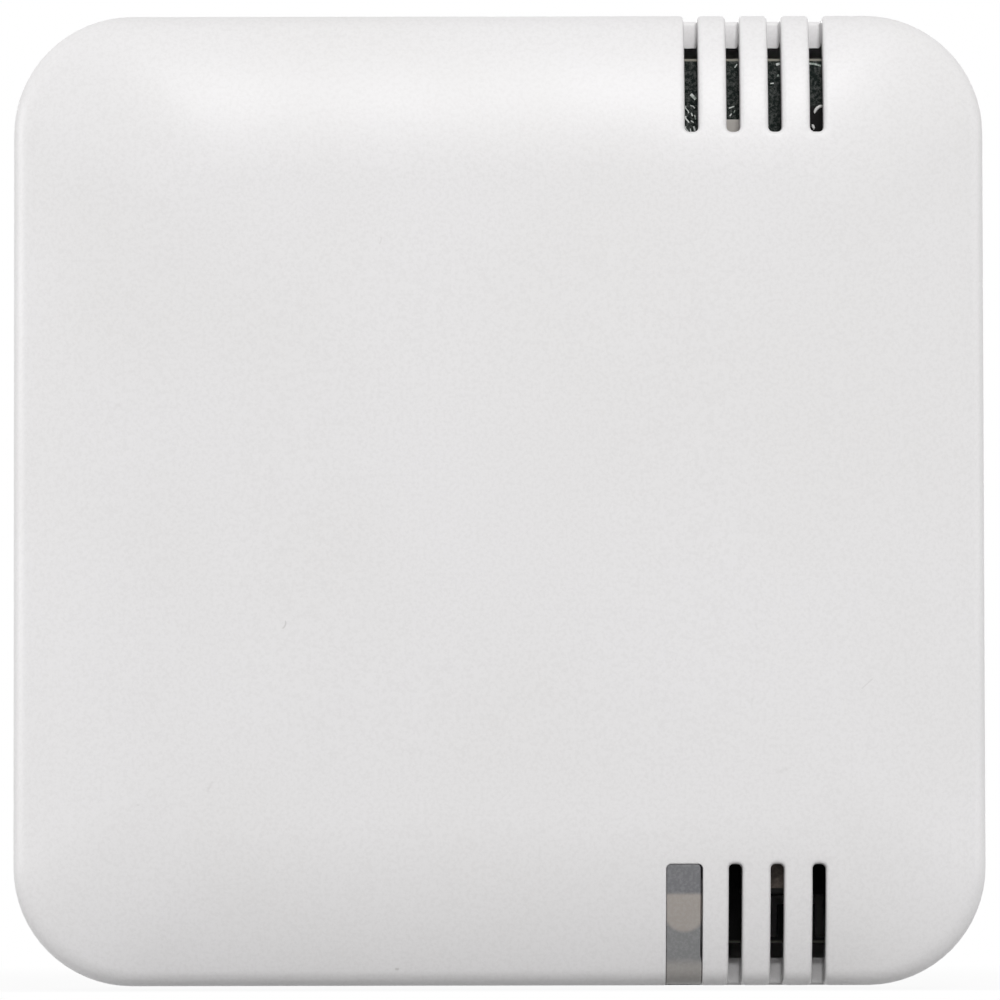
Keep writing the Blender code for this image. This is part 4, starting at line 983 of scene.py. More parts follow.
for offset, ring, reach, flip in (
    (WINDOW_RECESS, rings[0], WINDOW_WIDTH / 2, True),
    (WINDOW_SEAT + WINDOW_FLANGE, rings[-1], WINDOW_WIDTH / 2 + WINDOW_OVERLAP, False),
):
    rows = skin_rows(offset, (14, 24, 14), side_ys)
    xs = spread([PLUG_X - reach, PLUG_X + reach], COVER_GRID)
    window.fill(ring_edges(ring), zone_points(rows, xs, -1), unrolled(-1), flip)

# Spot: a soft round patch about a line along Y
sizes = {"Radius": 1.0 * MM, "Soft": 0.1 * MM}
spot_group, given, gives = group("spot", ["Mask"], Place=ORIGIN, Middle=ORIGIN, **sizes)
along = axes(spot_group, from_middle(spot_group, given))
over = math_node(spot_group, "SUBTRACT", length_of(spot_group, along["X"], along["Z"]), given["Radius"])
over = math_node(spot_group, "DIVIDE", over, given["Soft"])
spot_group.links.new(ramp(spot_group, over, 1.0, -1.0), gives["Mask"])

WINDOW_GREY = (0.150, 0.151, 0.160)
WINDOW_LOW_GREY = (0.195, 0.197, 0.200)
WINDOW_END_GREY = (0.310, 0.294, 0.280)
LOW_ZS = (-36.0 * MM, -38.5 * MM)
END_ZS = (-40.2 * MM, -41.2 * MM)
# The light parts behind the window show through it as a pale patch with a straight top and a round foot
SHINE_THROUGH = (0.335, 0.305, 0.280)
GLOW_Z = -36.15 * MM
GLOW_RADIUS = 1.9 * MM
GLOW_TOP_Z = -34.75 * MM
GLOW_SOFT = 0.2 * MM
GLOW_EDGE = 0.22 * MM
FROST_GREY = (0.5, 0.5, 0.5)
FROST_SPAN = (0.42, 0.62)
FROST_SHARE = 0.12
grey_window, tree, shader = finish("grey_window", WINDOW_GREY, 0.42)
place = object_place(tree)
grain = use_group(tree, grain_group, Place=place, Pits=3400.0, Tone=500.0)
height_z = axes(tree, place)["Z"]
colour = blend_colour(tree, ramp(tree, height_z, *LOW_ZS), WINDOW_GREY, WINDOW_LOW_GREY)
colour = blend_colour(tree, ramp(tree, height_z, *END_ZS), colour, WINDOW_END_GREY)
middle = (WINDOW_X, FRONT_Y, GLOW_Z)
glow = use_group(tree, spot_group, Place=place, Middle=middle, Radius=GLOW_RADIUS, Soft=GLOW_EDGE)
above = ramp(tree, height_z, GLOW_Z - GLOW_SOFT, GLOW_Z + GLOW_SOFT)
below = ramp(tree, height_z, GLOW_TOP_Z + GLOW_SOFT, GLOW_TOP_Z - GLOW_SOFT)
glow = math_node(tree, "MULTIPLY", math_node(tree, "MAXIMUM", glow["Mask"], above), below)
colour = blend_colour(tree, glow, colour, SHINE_THROUGH)
speck = math_node(tree, "MULTIPLY", ramp(tree, grain["Height"], *FROST_SPAN), FROST_SHARE)
colour = blend_colour(tree, speck, colour, FROST_GREY)
gloss = ramp(tree, grain["Gloss"], *GLOSS_SPAN, 0.38, 0.5)
dress(tree, shader, colour, gloss, grain["Height"], PIT_DEPTH, 0.4)

light_window = window.piece("window_plug", grey_window)
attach(light_window, "root")
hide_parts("light_window")

# Back plate: one white ABS moulding, screwed or taped to the wall. Its rim stands inside the cover, four
# hooks on spring arms hold the cover, and two ribs keep the cells down in their holders.
PLATE_Y = -2.0 * MM
PLATE_CHAMFER = 0.4 * MM
PLATE_EDGE = 0.15 * MM
RIM_HALF = 40.3 * MM
RIM_WALL = 1.2 * MM
RIM_TOP_Y = -6.0 * MM
STUB_Y = COVER_RIM_Y
HOLD = 0.35 * MM
HOOK_Z = 14.0 * MM
HOOK_HALF = 4.0 * MM
HOOK_THICKNESS = 1.3 * MM
HOOK_BARB = 0.7 * MM
HOOK_BARB_Y = -5.2 * MM
HOOK_TIP_Y = -8.6 * MM
HOOK_GAP = 5.0 * MM
AIR_GAP = (12.39 * MM, 29.2 * MM)
CRADLE_XS = (-15.0 * MM, 15.0 * MM)
CRADLE_HALF = 0.6 * MM
CRADLE_REACH = 17.05 * MM
CELL_Y = -9.55 * MM
CELL_Z = 9.5 * MM
CHANNEL_RADIUS = 7.85 * MM
FIXING_Z = 30.0 * MM
FIXING_X = 28.0 * MM
FIXING_RADIUS = 1.9 * MM
HOLE_REACH = 0.02 * MM
SLOT_REACH = 1.6 * MM
SEAT_RADIUS = 4.0 * MM
SEAT_Y = -1.3 * MM


def plate_rows():
    """Half side and y of the plate's rings, from the wall face round its edge and over its rim."""
    outer, inner = RIM_HALF, RIM_HALF - RIM_WALL
    rounding = PLATE_EDGE * np.array([(0.0, 1.0), (0.3, 0.3), (1.0, 0.0)])
    wall_half = HALF_SIDE - PLATE_CHAMFER
    rows = [(wall_half - HOLD, 0.0), (wall_half, 0.0), (HALF_SIDE, -PLATE_CHAMFER)]
    rows += [(HALF_SIDE - a, PLATE_Y + b) for a, b in rounding]
    rows += [(outer + HOLD, PLATE_Y), (outer, PLATE_Y), (outer, STUB_Y)]
    rows += [(outer - a, RIM_TOP_Y + b) for a, b in rounding]
    rows += [(inner + a, RIM_TOP_Y + b) for a, b in rounding[::-1]]
    rows += [(inner, STUB_Y), (inner, PLATE_Y), (inner - HOLD, PLATE_Y)]
    return np.array(rows).T


plate = Skin()
halves, ys = plate_rows()
levels = side_levels(33, (HOOK_Z - HOOK_GAP, HOOK_Z + HOOK_GAP, *AIR_GAP))
numbers = plate.add(ring_points(halves, halves - STRAIGHT_HALF, ys, ring_columns(levels)))
keep = np.ones((len(ys) - 1, numbers.shape[1]), bool)
stubs = np.flatnonzero(ys == STUB_Y)
hook_gaps = [(z - HOOK_GAP, z + HOOK_GAP) for z in (-HOOK_Z, HOOK_Z)]
gaps = [(quarter, ends) for quarter in (0, 2) for ends in hook_gaps]
for quarter, ends in [*gaps, (1, (-AIR_GAP[1], -AIR_GAP[0])), (3, AIR_GAP)]:
    plate.cut(numbers, keep, stubs, columns_at(levels, quarter, ends), flip=True)
plate.grid(numbers, closed=True, keep=keep, flip=True)


def obround_rings(x, z, reach, rows, steps=12):
    """Rings of a slot with round ends that lies along X, one for each (radius, y) in rows."""
    angle = np.linspace(-math.pi / 2, math.pi / 2, steps + 1)
    rings = []
    for radius, y in rows:
        out, up = reach + radius * np.cos(angle), radius * np.sin(angle)
        right = np.stack([x + out, angle * 0 + y, z + up], axis=-1)
        left = np.stack([x - out, angle * 0 + y, z - up], axis=-1)
        rings.append(np.concatenate([right, left]))
    return np.stack(rings)


def seen_flat(points):
    return points[:, [0, 2]]


wall_edges, floor_edges = [ring_edges(numbers[0])], [ring_edges(numbers[-1])]
fixing_rows = [
    (FIXING_RADIUS + PLATE_EDGE + HOLD, 0.0),
    (FIXING_RADIUS + PLATE_EDGE, 0.0),
    (FIXING_RADIUS, -PLATE_EDGE),
    (FIXING_RADIUS, SEAT_Y),
    (SEAT_RADIUS, SEAT_Y),
    (SEAT_RADIUS, PLATE_Y + PLATE_EDGE / 2),
    (SEAT_RADIUS + PLATE_EDGE / 2, PLATE_Y),
    (SEAT_RADIUS + PLATE_EDGE + HOLD, PLATE_Y),
]
for z in (-FIXING_Z, FIXING_Z):
    for x, reach in ((-FIXING_X, HOLE_REACH), (0.0, SLOT_REACH), (FIXING_X, HOLE_REACH)):
        rings = plate.add(obround_rings(x, z, reach, fixing_rows))
        plate.grid(rings, closed=True)
        wall_edges.append(ring_edges(rings[0]))
        floor_edges.append(ring_edges(rings[-1]))
plate.fill(np.concatenate(wall_edges), np.zeros((0, 3)), seen_flat, flip=True)
plate.fill(np.concatenate(floor_edges), np.zeros((0, 3)), seen_flat)

foot_y = PLATE_Y / 2
inner = RIM_HALF - HOOK_THICKNESS
hook_outline = [
    (inner, foot_y),
    (RIM_HALF, foot_y),
    (RIM_HALF, HOOK_BARB_Y),
    (RIM_HALF + HOOK_BARB, HOOK_BARB_Y - HOOK_BARB),
    (RIM_HALF + HOOK_BARB, HOOK_BARB_Y - 1.5 * HOOK_BARB),
    (RIM_HALF - HOOK_BARB / 2, HOOK_TIP_Y),
    (inner, HOOK_TIP_Y),
]
for way in (-1, 1):
    for centre in (-HOOK_Z, HOOK_Z):
        ends = (centre - HOOK_HALF, centre + HOOK_HALF)
        bar(plate, [[(way * x, y, z) for x, y in hook_outline] for z in ends])
swing = math.acos((RIM_TOP_Y - CELL_Y) / CHANNEL_RADIUS)
hollow = np.linspace(swing, -swing, 25)
cradle = [(foot_y, -CRADLE_REACH), (foot_y, CRADLE_REACH), (RIM_TOP_Y, CRADLE_REACH)]
for centre in (CELL_Z, -CELL_Z):
    bed = np.stack([np.cos(hollow), np.sin(hollow)], axis=-1) * CHANNEL_RADIUS
    cradle += (bed + (CELL_Y, centre)).tolist()
cradle.append((RIM_TOP_Y, -CRADLE_REACH))
for x in CRADLE_XS:
    bar(plate, [[(x + side, y, z) for y, z in cradle] for side in (-CRADLE_HALF, CRADLE_HALF)])


def moulded(name, colour, tone, roughness, pits, depth):
    """A moulded plastic whose colour drifts to tone in slow patches, with pits that many to a metre."""
    material, tree, shader = finish(name, colour, roughness)
    grain = use_group(tree, grain_group, Place=object_place(tree), Pits=pits, Tone=pits / 60)
    mixed = blend_colour(tree, ramp(tree, grain["Tone"], *TONE_SPAN), colour, tone)
    gloss = ramp(tree, grain["Gloss"], *GLOSS_SPAN, roughness - 0.05, roughness + 0.05)
    dress(tree, shader, mixed, gloss, grain["Height"], depth, 0.35)
    return material, tree, shader


PLATE_WHITE = (0.76, 0.75, 0.755)
PLATE_TONE = (0.73, 0.72, 0.72)
plate_plastic, tree, shader = moulded("plate_plastic", PLATE_WHITE, PLATE_TONE, 0.5, 2400.0, 0.03 * MM)
place = tree.nodes["Texture Coordinate"].outputs["Object"]
# Marks of the six ejector pins: each a thin ring, which is a wide spot less a narrower one
PIN_XS = (-20.0 * MM, 0.0, 20.0 * MM)
PIN_ZS = (-22.0 * MM, 22.0 * MM)
PIN_SPOTS = ((2.0 * MM, 1.0), (1.86 * MM, -1.0))
PIN_SOFT = 0.05 * MM
PIN_DEPTH = 0.05 * MM
PIN_YS = (-0.9 * MM, -1.1 * MM)
rings = []
for x, z in [(x, z) for x in PIN_XS for z in PIN_ZS]:
    for radius, sign in PIN_SPOTS:
        spot = use_group(tree, spot_group, Place=place, Middle=(x, PLATE_Y, z), Radius=radius, Soft=PIN_SOFT)
        rings.append(math_node(tree, "MULTIPLY", spot["Mask"], sign))
pins = joined(tree, "ADD", rings)
inside = ramp(tree, axes(tree, place)["Y"], *PIN_YS)
bump(tree, tree.nodes["Bump"], math_node(tree, "MULTIPLY", pins, inside), -PIN_DEPTH)

back_plate = plate.piece("wall_plate", plate_plastic, smooth=30)
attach(back_plate, "root")
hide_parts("back_plate")

# Circuit board: 1.6 mm glass-epoxy laminate under a dark solder mask, which stops short of the cut edge.
# It rests on the cover's posts. Its colour is painted darker towards the bottom as the cover's shade, and
# the laminate margin by its cut edge is painted light as the highlight along that edge. Its print is white
# ink;
# most of the white strokes near the upper vents are painted glints, and its solder is real bright metal.
PRINT_THICKNESS = 0.02 * MM
PRINT_SPACE = 1.1 * MM
PRINT_LINE = 0.15 * MM
MASK_MARGIN = 0.2 * MM
MASK_SOFT = 0.04 * MM
MASK_DARK = (0.012, 0.018, 0.016)
MASK_GREY = (0.098, 0.104, 0.099)
MASK_PAINTED_SHADE = (0.002, 0.002, 0.002)
BARE_LAMINATE_HIGHLIGHT = (0.34, 0.33, 0.28)
BARE_PAINTED_SHADE = (0.035, 0.035, 0.030)
SHADE_ZS = (-5.0 * MM, -30.0 * MM)
MOTTLE_SPAN = (0.19, 0.35)
PRINT_AND_GLINT_WHITE = (0.88, 0.90, 0.88)
PRINT_WORN = (0.35, 0.42, 0.37)


def paint(material, *nodes):
    """Gives solids that stay as they are their material."""
    for node in nodes:
        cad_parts[node].material_slots[0].material = material


def sideways(path, width):
    """Steps of half a width to the left of each point of a path."""
    way = np.gradient(path, axis=0)
    return way[:, ::-1] * np.array([-1, 1]) / np.linalg.norm(way, axis=1)[:, None] * width / 2


def ribbon(skin, path, width, board_y):
    """A closed strip of white ink, for print and for painted glints, along a path of (x, z) points, half
    sunk into the board's face.
    """
    path = np.asarray(path, float)
    side = sideways(path, width)
    low_y, high_y = board_y - PRINT_THICKNESS, board_y + PRINT_THICKNESS
    level = np.ones(len(path))
    corners = [(path + side, low_y), (path + side, high_y), (path - side, high_y), (path - side, low_y)]
    bar(skin, np.stack([np.stack([p[:, 0], level * y, p[:, 1]], axis=-1) for p, y in corners], axis=1))


board_laminate, tree, shader = finish("board_laminate", MASK_DARK, 0.38)
place = object_place(tree)
along = axes(tree, place)
grain = use_group(tree, grain_group, Place=place, Pits=9000.0, Tone=3000.0)
# Painted shade: the mask and the margin by the cut edge darken from z -5 mm down to -30 mm, where the cover
# shades the board
painted_shade_share = ramp(tree, along["Z"], *SHADE_ZS)
mottle = ramp(tree, math_node(tree, "MULTIPLY", grain["Height"], grain["Tone"]), *MOTTLE_SPAN)
colour = blend_colour(tree, mottle, MASK_DARK, MASK_GREY)
colour = blend_colour(tree, painted_shade_share, colour, MASK_PAINTED_SHADE)
border = math_node(tree, "MAXIMUM", *[math_node(tree, "ABSOLUTE", along[axis]) for axis in "XZ"])
# The margin where the mask stops shows the laminate, painted light to stand for the highlight along the
# board's edge
mask_end = BOARD_HALF - MASK_MARGIN
bare = ramp(tree, border, mask_end - MASK_SOFT, mask_end + MASK_SOFT)
edge_colour = blend_colour(tree, painted_shade_share, BARE_LAMINATE_HIGHLIGHT, BARE_PAINTED_SHADE)
colour = blend_colour(tree, bare, colour, edge_colour)
gloss = ramp(tree, grain["Gloss"], *GLOSS_SPAN, 0.4, 0.6)
dress(tree, shader, colour, gloss, grain["Height"], 0.04 * MM, 0.5)
shader.inputs["Specular IOR Level"].default_value = 0.05
paint(board_laminate, "circuit_board")

# Strokes of white ink as paths of (x, z) in millimetres with their width: dashes and waves round the parts.
# The three dashes just above the filter inductor are print; the other strokes are painted glints, white
# where the board glints in the upper vents.
wave_z = np.linspace(34.9, 32.4, 40)
wave = np.stack([16.72 + 0.14 * np.sin(wave_z * 7.0), wave_z], axis=-1)
PRINT_AND_GLINT_STROKES = [
    ([(17.05, 35.95), (17.5, 35.5)], 0.26),
    (wave[:11], 0.09),
    (wave[14:24], 0.12),
    (wave[28:], 0.08),
    ([(17.0, 34.95), (17.26, 34.88), (17.4, 34.7)], 0.08),
    ([(17.1, 34.3), (17.2, 34.0)], 0.12),
    ([(17.4, 34.1), (17.46, 33.7)], 0.08),
    ([(17.05, 33.6), (17.3, 33.44)], 0.09),
    ([(17.3, 33.1), (17.42, 32.7)], 0.14),
    ([(17.0, 32.9), (17.06, 32.6)], 0.08),
    ([(20.42, 34.7), (20.9, 34.86)], 0.11),
    ([(20.5, 34.0), (20.66, 34.22)], 0.09),
    ([(20.86, 34.3), (20.96, 34.5)], 0.07),
    ([(20.95, 38.3), (21.15, 38.6)], 0.10),
    ([(24.62, 38.55), (24.98, 38.68)], 0.22),
    ([(24.72, 37.5), (24.84, 37.68)], 0.14),
    ([(24.1, 36.88), (24.4, 36.92)], 0.10),
    ([(27.5, 38.66), (28.0, 38.62), (28.6, 38.45)], 0.16),
    ([(23.8, 33.3), (23.9, 33.1)], 0.12),
]
print_and_glints = Skin()
for path, width in PRINT_AND_GLINT_STROKES:
    ribbon(print_and_glints, np.asarray(path) * MM, width * MM, BOARD_FRONT_Y)
# Lines of print to the left and right of the larger parts on the back
BACK_CHIPS = ("voltage_regulator", "tag_chip", "memory_chip", "processor")
for node in (*BACK_CHIPS, "power_inductor", "clock_crystal"):
    low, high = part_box(node)
    x, z = (low[0] + high[0]) / 2, (low[2] + high[2]) / 2
    reach_x, reach_z = (high[0] - low[0]) / 2 + PRINT_SPACE, (high[2] - low[2]) / 2 + PRINT_SPACE
    for edge in (x - reach_x, x + reach_x):
        ribbon(print_and_glints, [(edge, z - reach_z), (edge, z + reach_z)], PRINT_LINE, BOARD_BACK_Y)
# The ink is white both for the print and for the painted glints
glint_and_print_ink, tree, shader = finish("glint_and_print_ink", PRINT_AND_GLINT_WHITE, 0.6)
grain = use_group(tree, grain_group, Place=object_place(tree), Pits=5000.0, Tone=2500.0)
worn = blend_colour(tree, ramp(tree, grain["Tone"], 0.62, 0.35), PRINT_AND_GLINT_WHITE, PRINT_WORN)
tree.links.new(worn, shader.inputs["Base Color"])
bump(tree, shader, grain["Height"], 0.01 * MM, 0.4)
printed = print_and_glints.piece("print_and_glints", glint_and_print_ink)
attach(printed, "root")

# Board screws: four zinc-plated pan-head steel screws with a cross recess and a rolled thread. Each goes
# through the board from the back into a post of the cover.
SCREW_SEAT_Y = -17.6 * MM
SCREW_LENGTH = 4.7 * MM
SCREW_RADIUS = 1.0 * MM
THREAD_DEPTH = 0.17 * MM
THREAD_PITCH = 0.5 * MM
THREAD_TURNS = 6
SHANK_PLAIN = 1.0 * MM
HEAD_SOFT = 0.1 * MM
HEAD_RADIUS = 2.0 * MM
HEAD_HEIGHT = 1.4 * MM
HEAD_TOP_Y = SCREW_SEAT_Y + HEAD_HEIGHT
DOME_REACH = 0.4 * HEAD_RADIUS
DOME_HEIGHT = HEAD_HEIGHT / 3
RECESS_REACH = 1.0 * MM
RECESS_HALF = 0.25 * MM
RECESS_DEPTH = 0.7 * MM


def screw_profile():
    """(radius, y) from the screw's tip over its thread and shank to the flat of its head."""
    tip_y = SCREW_SEAT_Y - SCREW_LENGTH
    points = [(SCREW_RADIUS / 2, tip_y), (SCREW_RADIUS - THREAD_DEPTH, tip_y + SCREW_RADIUS / 2)]
    for turn in range(THREAD_TURNS):
        y = tip_y + SCREW_RADIUS / 2 + turn * THREAD_PITCH
        crest = [(SCREW_RADIUS, y + 0.4 * THREAD_PITCH), (SCREW_RADIUS, y + 0.55 * THREAD_PITCH)]
        points += [*crest, (SCREW_RADIUS - THREAD_DEPTH, y + 0.95 * THREAD_PITCH)]
    points += [(SCREW_RADIUS, SCREW_SEAT_Y - SHANK_PLAIN), (SCREW_RADIUS, SCREW_SEAT_Y)]
    points += [(HEAD_RADIUS - HEAD_SOFT, SCREW_SEAT_Y), (HEAD_RADIUS, SCREW_SEAT_Y + HEAD_SOFT)]
    return points + [(HEAD_RADIUS - DOME_REACH * b, HEAD_TOP_Y - DOME_HEIGHT * a) for a, b in bow(1.0, 6)]


# Worn metal: slow tarnish and fine scratches along X
metal_group, given, gives = group("worn_metal", ("Height", "Tone"), Place=ORIGIN, Scale=900.0)
stretched = metal_group.nodes.new("ShaderNodeVectorMath")
stretched.operation = "MULTIPLY"
stretched.inputs[1].default_value = (0.12, 1.0, 1.0)
metal_group.links.new(given["Place"], stretched.inputs[0])
finer = math_node(metal_group, "MULTIPLY", given["Scale"], 6.0)
metal_group.links.new(cloud(metal_group, stretched.outputs["Vector"], finer, 3.0), gives["Height"])
metal_group.links.new(cloud(metal_group, given["Place"], given["Scale"], 3.0), gives["Tone"])


def plated(name, colour, tone, roughness, scale=900.0):
    """A plated metal whose colour drifts to tone, with fine scratches."""
    material, tree, shader = finish(name, colour, roughness, 1.0)
    worn = use_group(tree, metal_group, Place=object_place(tree), Scale=scale)
    colour = blend_colour(tree, ramp(tree, worn["Tone"], *TONE_SPAN), colour, tone)
    gloss = ramp(tree, worn["Tone"], *TONE_SPAN, roughness - 0.06, roughness + 0.08)
    dress(tree, shader, colour, gloss, worn["Height"], 0.01 * MM, 0.25)
    return material


zinc_steel = plated("zinc_steel", (0.62, 0.62, 0.63), (0.5, 0.5, 0.53), 0.28)
number = 0
for x in (-POST_XZ, POST_XZ):
    for z in (-POST_XZ, POST_XZ):
        number += 1
        screw = Skin()
        rings = turned(screw, screw_profile(), x, z, open_back=True)
        arms = [(RECESS_REACH, -RECESS_HALF), (RECESS_REACH, RECESS_HALF), (RECESS_HALF, RECESS_HALF)]
        recess = []
        for cos, sin in ((1, 0), (0, 1), (-1, 0), (0, -1)):
            recess += [(x + px * cos - pz * sin, z + px * sin + pz * cos) for px, pz in arms]
        depths = (HEAD_TOP_Y, HEAD_TOP_Y - RECESS_DEPTH)
        cross = screw.add([[(px, y, pz) for px, pz in recess] for y in depths])
        screw.grid(cross, closed=True)
        screw.put([cross[1][::-1]])
        edges = np.concatenate([ring_edges(rings[-1]), ring_edges(cross[0])])
        screw.fill(edges, np.zeros((0, 3)), seen_flat, flip=True)
        piece = screw.piece(f"pan_screw_{number}", zinc_steel, smooth=40)
        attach(piece, "root")
        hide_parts(f"board_screw_{number}")

# Cell holders: black glass-filled mouldings with a round bed for the cell and a wall at each end for the
# contacts. Their moulded edges are softly rounded.


def softened(node, material, width):
    """A copy of a solid with merged seams and rounded edges, which stands for it."""
    merged = bmesh.new()
    merged.from_mesh(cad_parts[node].data)
    bmesh.ops.remove_doubles(merged, verts=merged.verts, dist=0.001 * MM)
    bmesh.ops.dissolve_limit(merged, angle_limit=math.radians(1), verts=merged.verts, edges=merged.edges)
    mesh = bpy.data.meshes.new(node + "_soft")
    merged.to_mesh(mesh)
    merged.free()
    mesh.materials.clear()
    mesh.materials.append(material)
    mesh.shade_smooth()
    mesh.set_sharp_from_angle(angle=math.radians(35))
    piece = add_object(node + "_soft", mesh)
    edges = piece.modifiers.new("soft_edges", "BEVEL")
    edges.width = width
    edges.segments = 2
    edges.limit_method = "ANGLE"
    edges.angle_limit = math.radians(40)
    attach(piece, "root")
    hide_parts(node)
    return piece


HOLDER_BLACK = (0.022, 0.022, 0.023)
HOLDER_TONE = (0.03, 0.03, 0.03)
HOLDER_ROUND = 0.2 * MM
holder_plastic = moulded("holder_plastic", HOLDER_BLACK, HOLDER_TONE, 0.5, 2000.0, 0.04 * MM)[0]
for number in (1, 2):
    piece = softened(f"cell_holder_{number}", holder_plastic, HOLDER_ROUND)

# Cells: two AA-size cells, one turned round against the other. Each is a plated steel can in a printed
# sleeve that is shrunk over the rim at both ends, with the positive cap raised in the middle.
CELL_RADIUS = 7.25 * MM
CELL_HALF = 25.25 * MM
CAP_RADIUS = 2.7 * MM
CAP_HEIGHT = 1.5 * MM
CAP_ROUND = 0.3 * MM
SLEEVE_END_RADIUS = 5.4 * MM
SLEEVE_ROLL = 0.6 * MM
SLEEVE_CUT = 0.02 * MM
# (radius, height) in millimetres: the can's sunk foot, and its shoulder between the sleeve and the cap
CELL_FOOT = ((4.7, 0.0), (4.9, 0.12), (5.2, 0.2), (5.4, 0.18))
CELL_SHOULDER = ((5.4, 0.0), (5.3, -0.1), (3.4, -0.25), (2.95, -0.1), (2.7, 0.15))
BAND_START = 12.0 * MM
BAND_END = 20.0 * MM
BAND_SOFT = 0.2 * MM
SLEEVE_GREEN = (0.035, 0.17, 0.075)
SLEEVE_SILVER = (0.42, 0.43, 0.43)
CELL_STEEL = (0.68, 0.67, 0.64)
CELL_TARNISH = (0.55, 0.54, 0.52)


def cell_profile():
    """(radius, length) of a cell from its flat negative end to its raised positive cap."""
    shoulder = CELL_HALF - CAP_HEIGHT
    points = [(radius * MM, rise * MM - CELL_HALF) for radius, rise in CELL_FOOT]
    points += [(CELL_RADIUS - a, -CELL_HALF + b) for a, b in bow(SLEEVE_ROLL, 8)]
    points += [(CELL_RADIUS, share * shoulder) for share in np.linspace(-0.9, 0.9, 7)]
    points += [(CELL_RADIUS - b, shoulder - a) for a, b in bow(SLEEVE_ROLL, 8)]
    points += [(radius * MM, rise * MM + shoulder) for radius, rise in CELL_SHOULDER]
    return points + [(CAP_RADIUS - b, CELL_HALF - a) for a, b in bow(CAP_ROUND, 4)]


cell_sleeve, tree, shader = finish("cell_sleeve", SLEEVE_GREEN, 0.3)
place = object_place(tree)
along = axes(tree, place)
off_y = math_node(tree, "SUBTRACT", along["Y"], CELL_Y)
off_z = math_node(tree, "SUBTRACT", math_node(tree, "ABSOLUTE", along["Z"]), CELL_Z)
reach = length_of(tree, off_y, off_z)
metal = ramp(tree, reach, SLEEVE_END_RADIUS + SLEEVE_CUT, SLEEVE_END_RADIUS - SLEEVE_CUT)
worn = use_group(tree, metal_group, Place=place, Scale=500.0)
towards_cap = math_node(tree, "MULTIPLY", along["X"], math_node(tree, "SIGN", along["Z"]))
band = ramp(tree, towards_cap, BAND_START, BAND_START + BAND_SOFT)
band = math_node(tree, "MULTIPLY", band, ramp(tree, towards_cap, BAND_END + BAND_SOFT, BAND_END))
colour = blend_colour(tree, band, SLEEVE_GREEN, SLEEVE_SILVER)
steel = blend_colour(tree, ramp(tree, worn["Tone"], *TONE_SPAN), CELL_STEEL, CELL_TARNISH)
colour = blend_colour(tree, metal, colour, steel)
gloss = ramp(tree, worn["Tone"], *TONE_SPAN, 0.24, 0.36)
dress(tree, shader, colour, gloss, worn["Height"], 0.01 * MM, 0.2)
tree.links.new(metal, shader.inputs["Metallic"])
for number, way in ((1, 1), (2, -1)):
    cell = Skin()

    def lay(points):
        x, y, z = np.moveaxis(points, -1, 0)
        return np.stack([way * y, CELL_Y - way * x, way * CELL_Z + z], axis=-1)

    turned(cell, cell_profile(), 0, 0, steps=64, lay=lay)
    piece = cell.piece(f"sleeved_cell_{number}", cell_sleeve, smooth=40)
    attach(piece, "root")
    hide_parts(f"cell_{number}")

# Contacts: the negative ones are cones of tinned spring wire, and the positive ones are pressed plates of
# nickel-plated steel with a boss. Both are pushed into the holders' end walls.
SPRING_WIRE = 0.7 * MM
SPRING_TURNS = 3
SPRING_WIDE = 4.0 * MM
SPRING_NARROW = 2.4 * MM
SPRING_SPACE = 4.6 * MM
SPRING_GAP = 0.45 * MM


def tube(skin, path, radius, sides=14):
    """A round wire along a path that is nowhere parallel to X, closed at both ends."""
    path = np.asarray(path, float)
    way = np.gradient(path, axis=0)
    way /= np.linalg.norm(way, axis=1)[:, None]
    side = np.cross(way, (1.0, 0.0, 0.0))
    side /= np.linalg.norm(side, axis=1)[:, None]
    up = np.cross(side, way)
    angle = np.arange(sides) * 2 * math.pi / sides
    rounds = side[:, None] * np.cos(angle)[None, :, None] + up[:, None] * np.sin(angle)[None, :, None]
    bar(skin, path[:, None] + radius * rounds)


tinned_steel = plated("tinned_steel", (0.70, 0.70, 0.68), (0.58, 0.58, 0.57), 0.26)
gilt_steel = plated("gilt_steel", (0.66, 0.61, 0.51), (0.56, 0.52, 0.45), 0.3)
for number, way in ((1, 1), (2, -1)):
    share = np.linspace(0, 1, 28 * SPRING_TURNS + 1)
    angle = 2 * math.pi * SPRING_TURNS * share
    radius = SPRING_WIDE + (SPRING_NARROW - SPRING_WIDE) * share
    start = CELL_HALF + SPRING_SPACE - SPRING_GAP
    x = -way * (start - (SPRING_SPACE - 2 * SPRING_GAP) * share)
    spring = Skin()
    path = np.stack([x, CELL_Y + radius * np.sin(angle), way * CELL_Z + radius * np.cos(angle)], axis=-1)
    tube(spring, path, SPRING_WIRE / 2)
    piece = spring.piece(f"wound_spring_{number}", tinned_steel)
    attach(piece, "root")
    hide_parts(f"contact_spring_{number}")
paint(gilt_steel, "contact_plate_1", "contact_plate_2")

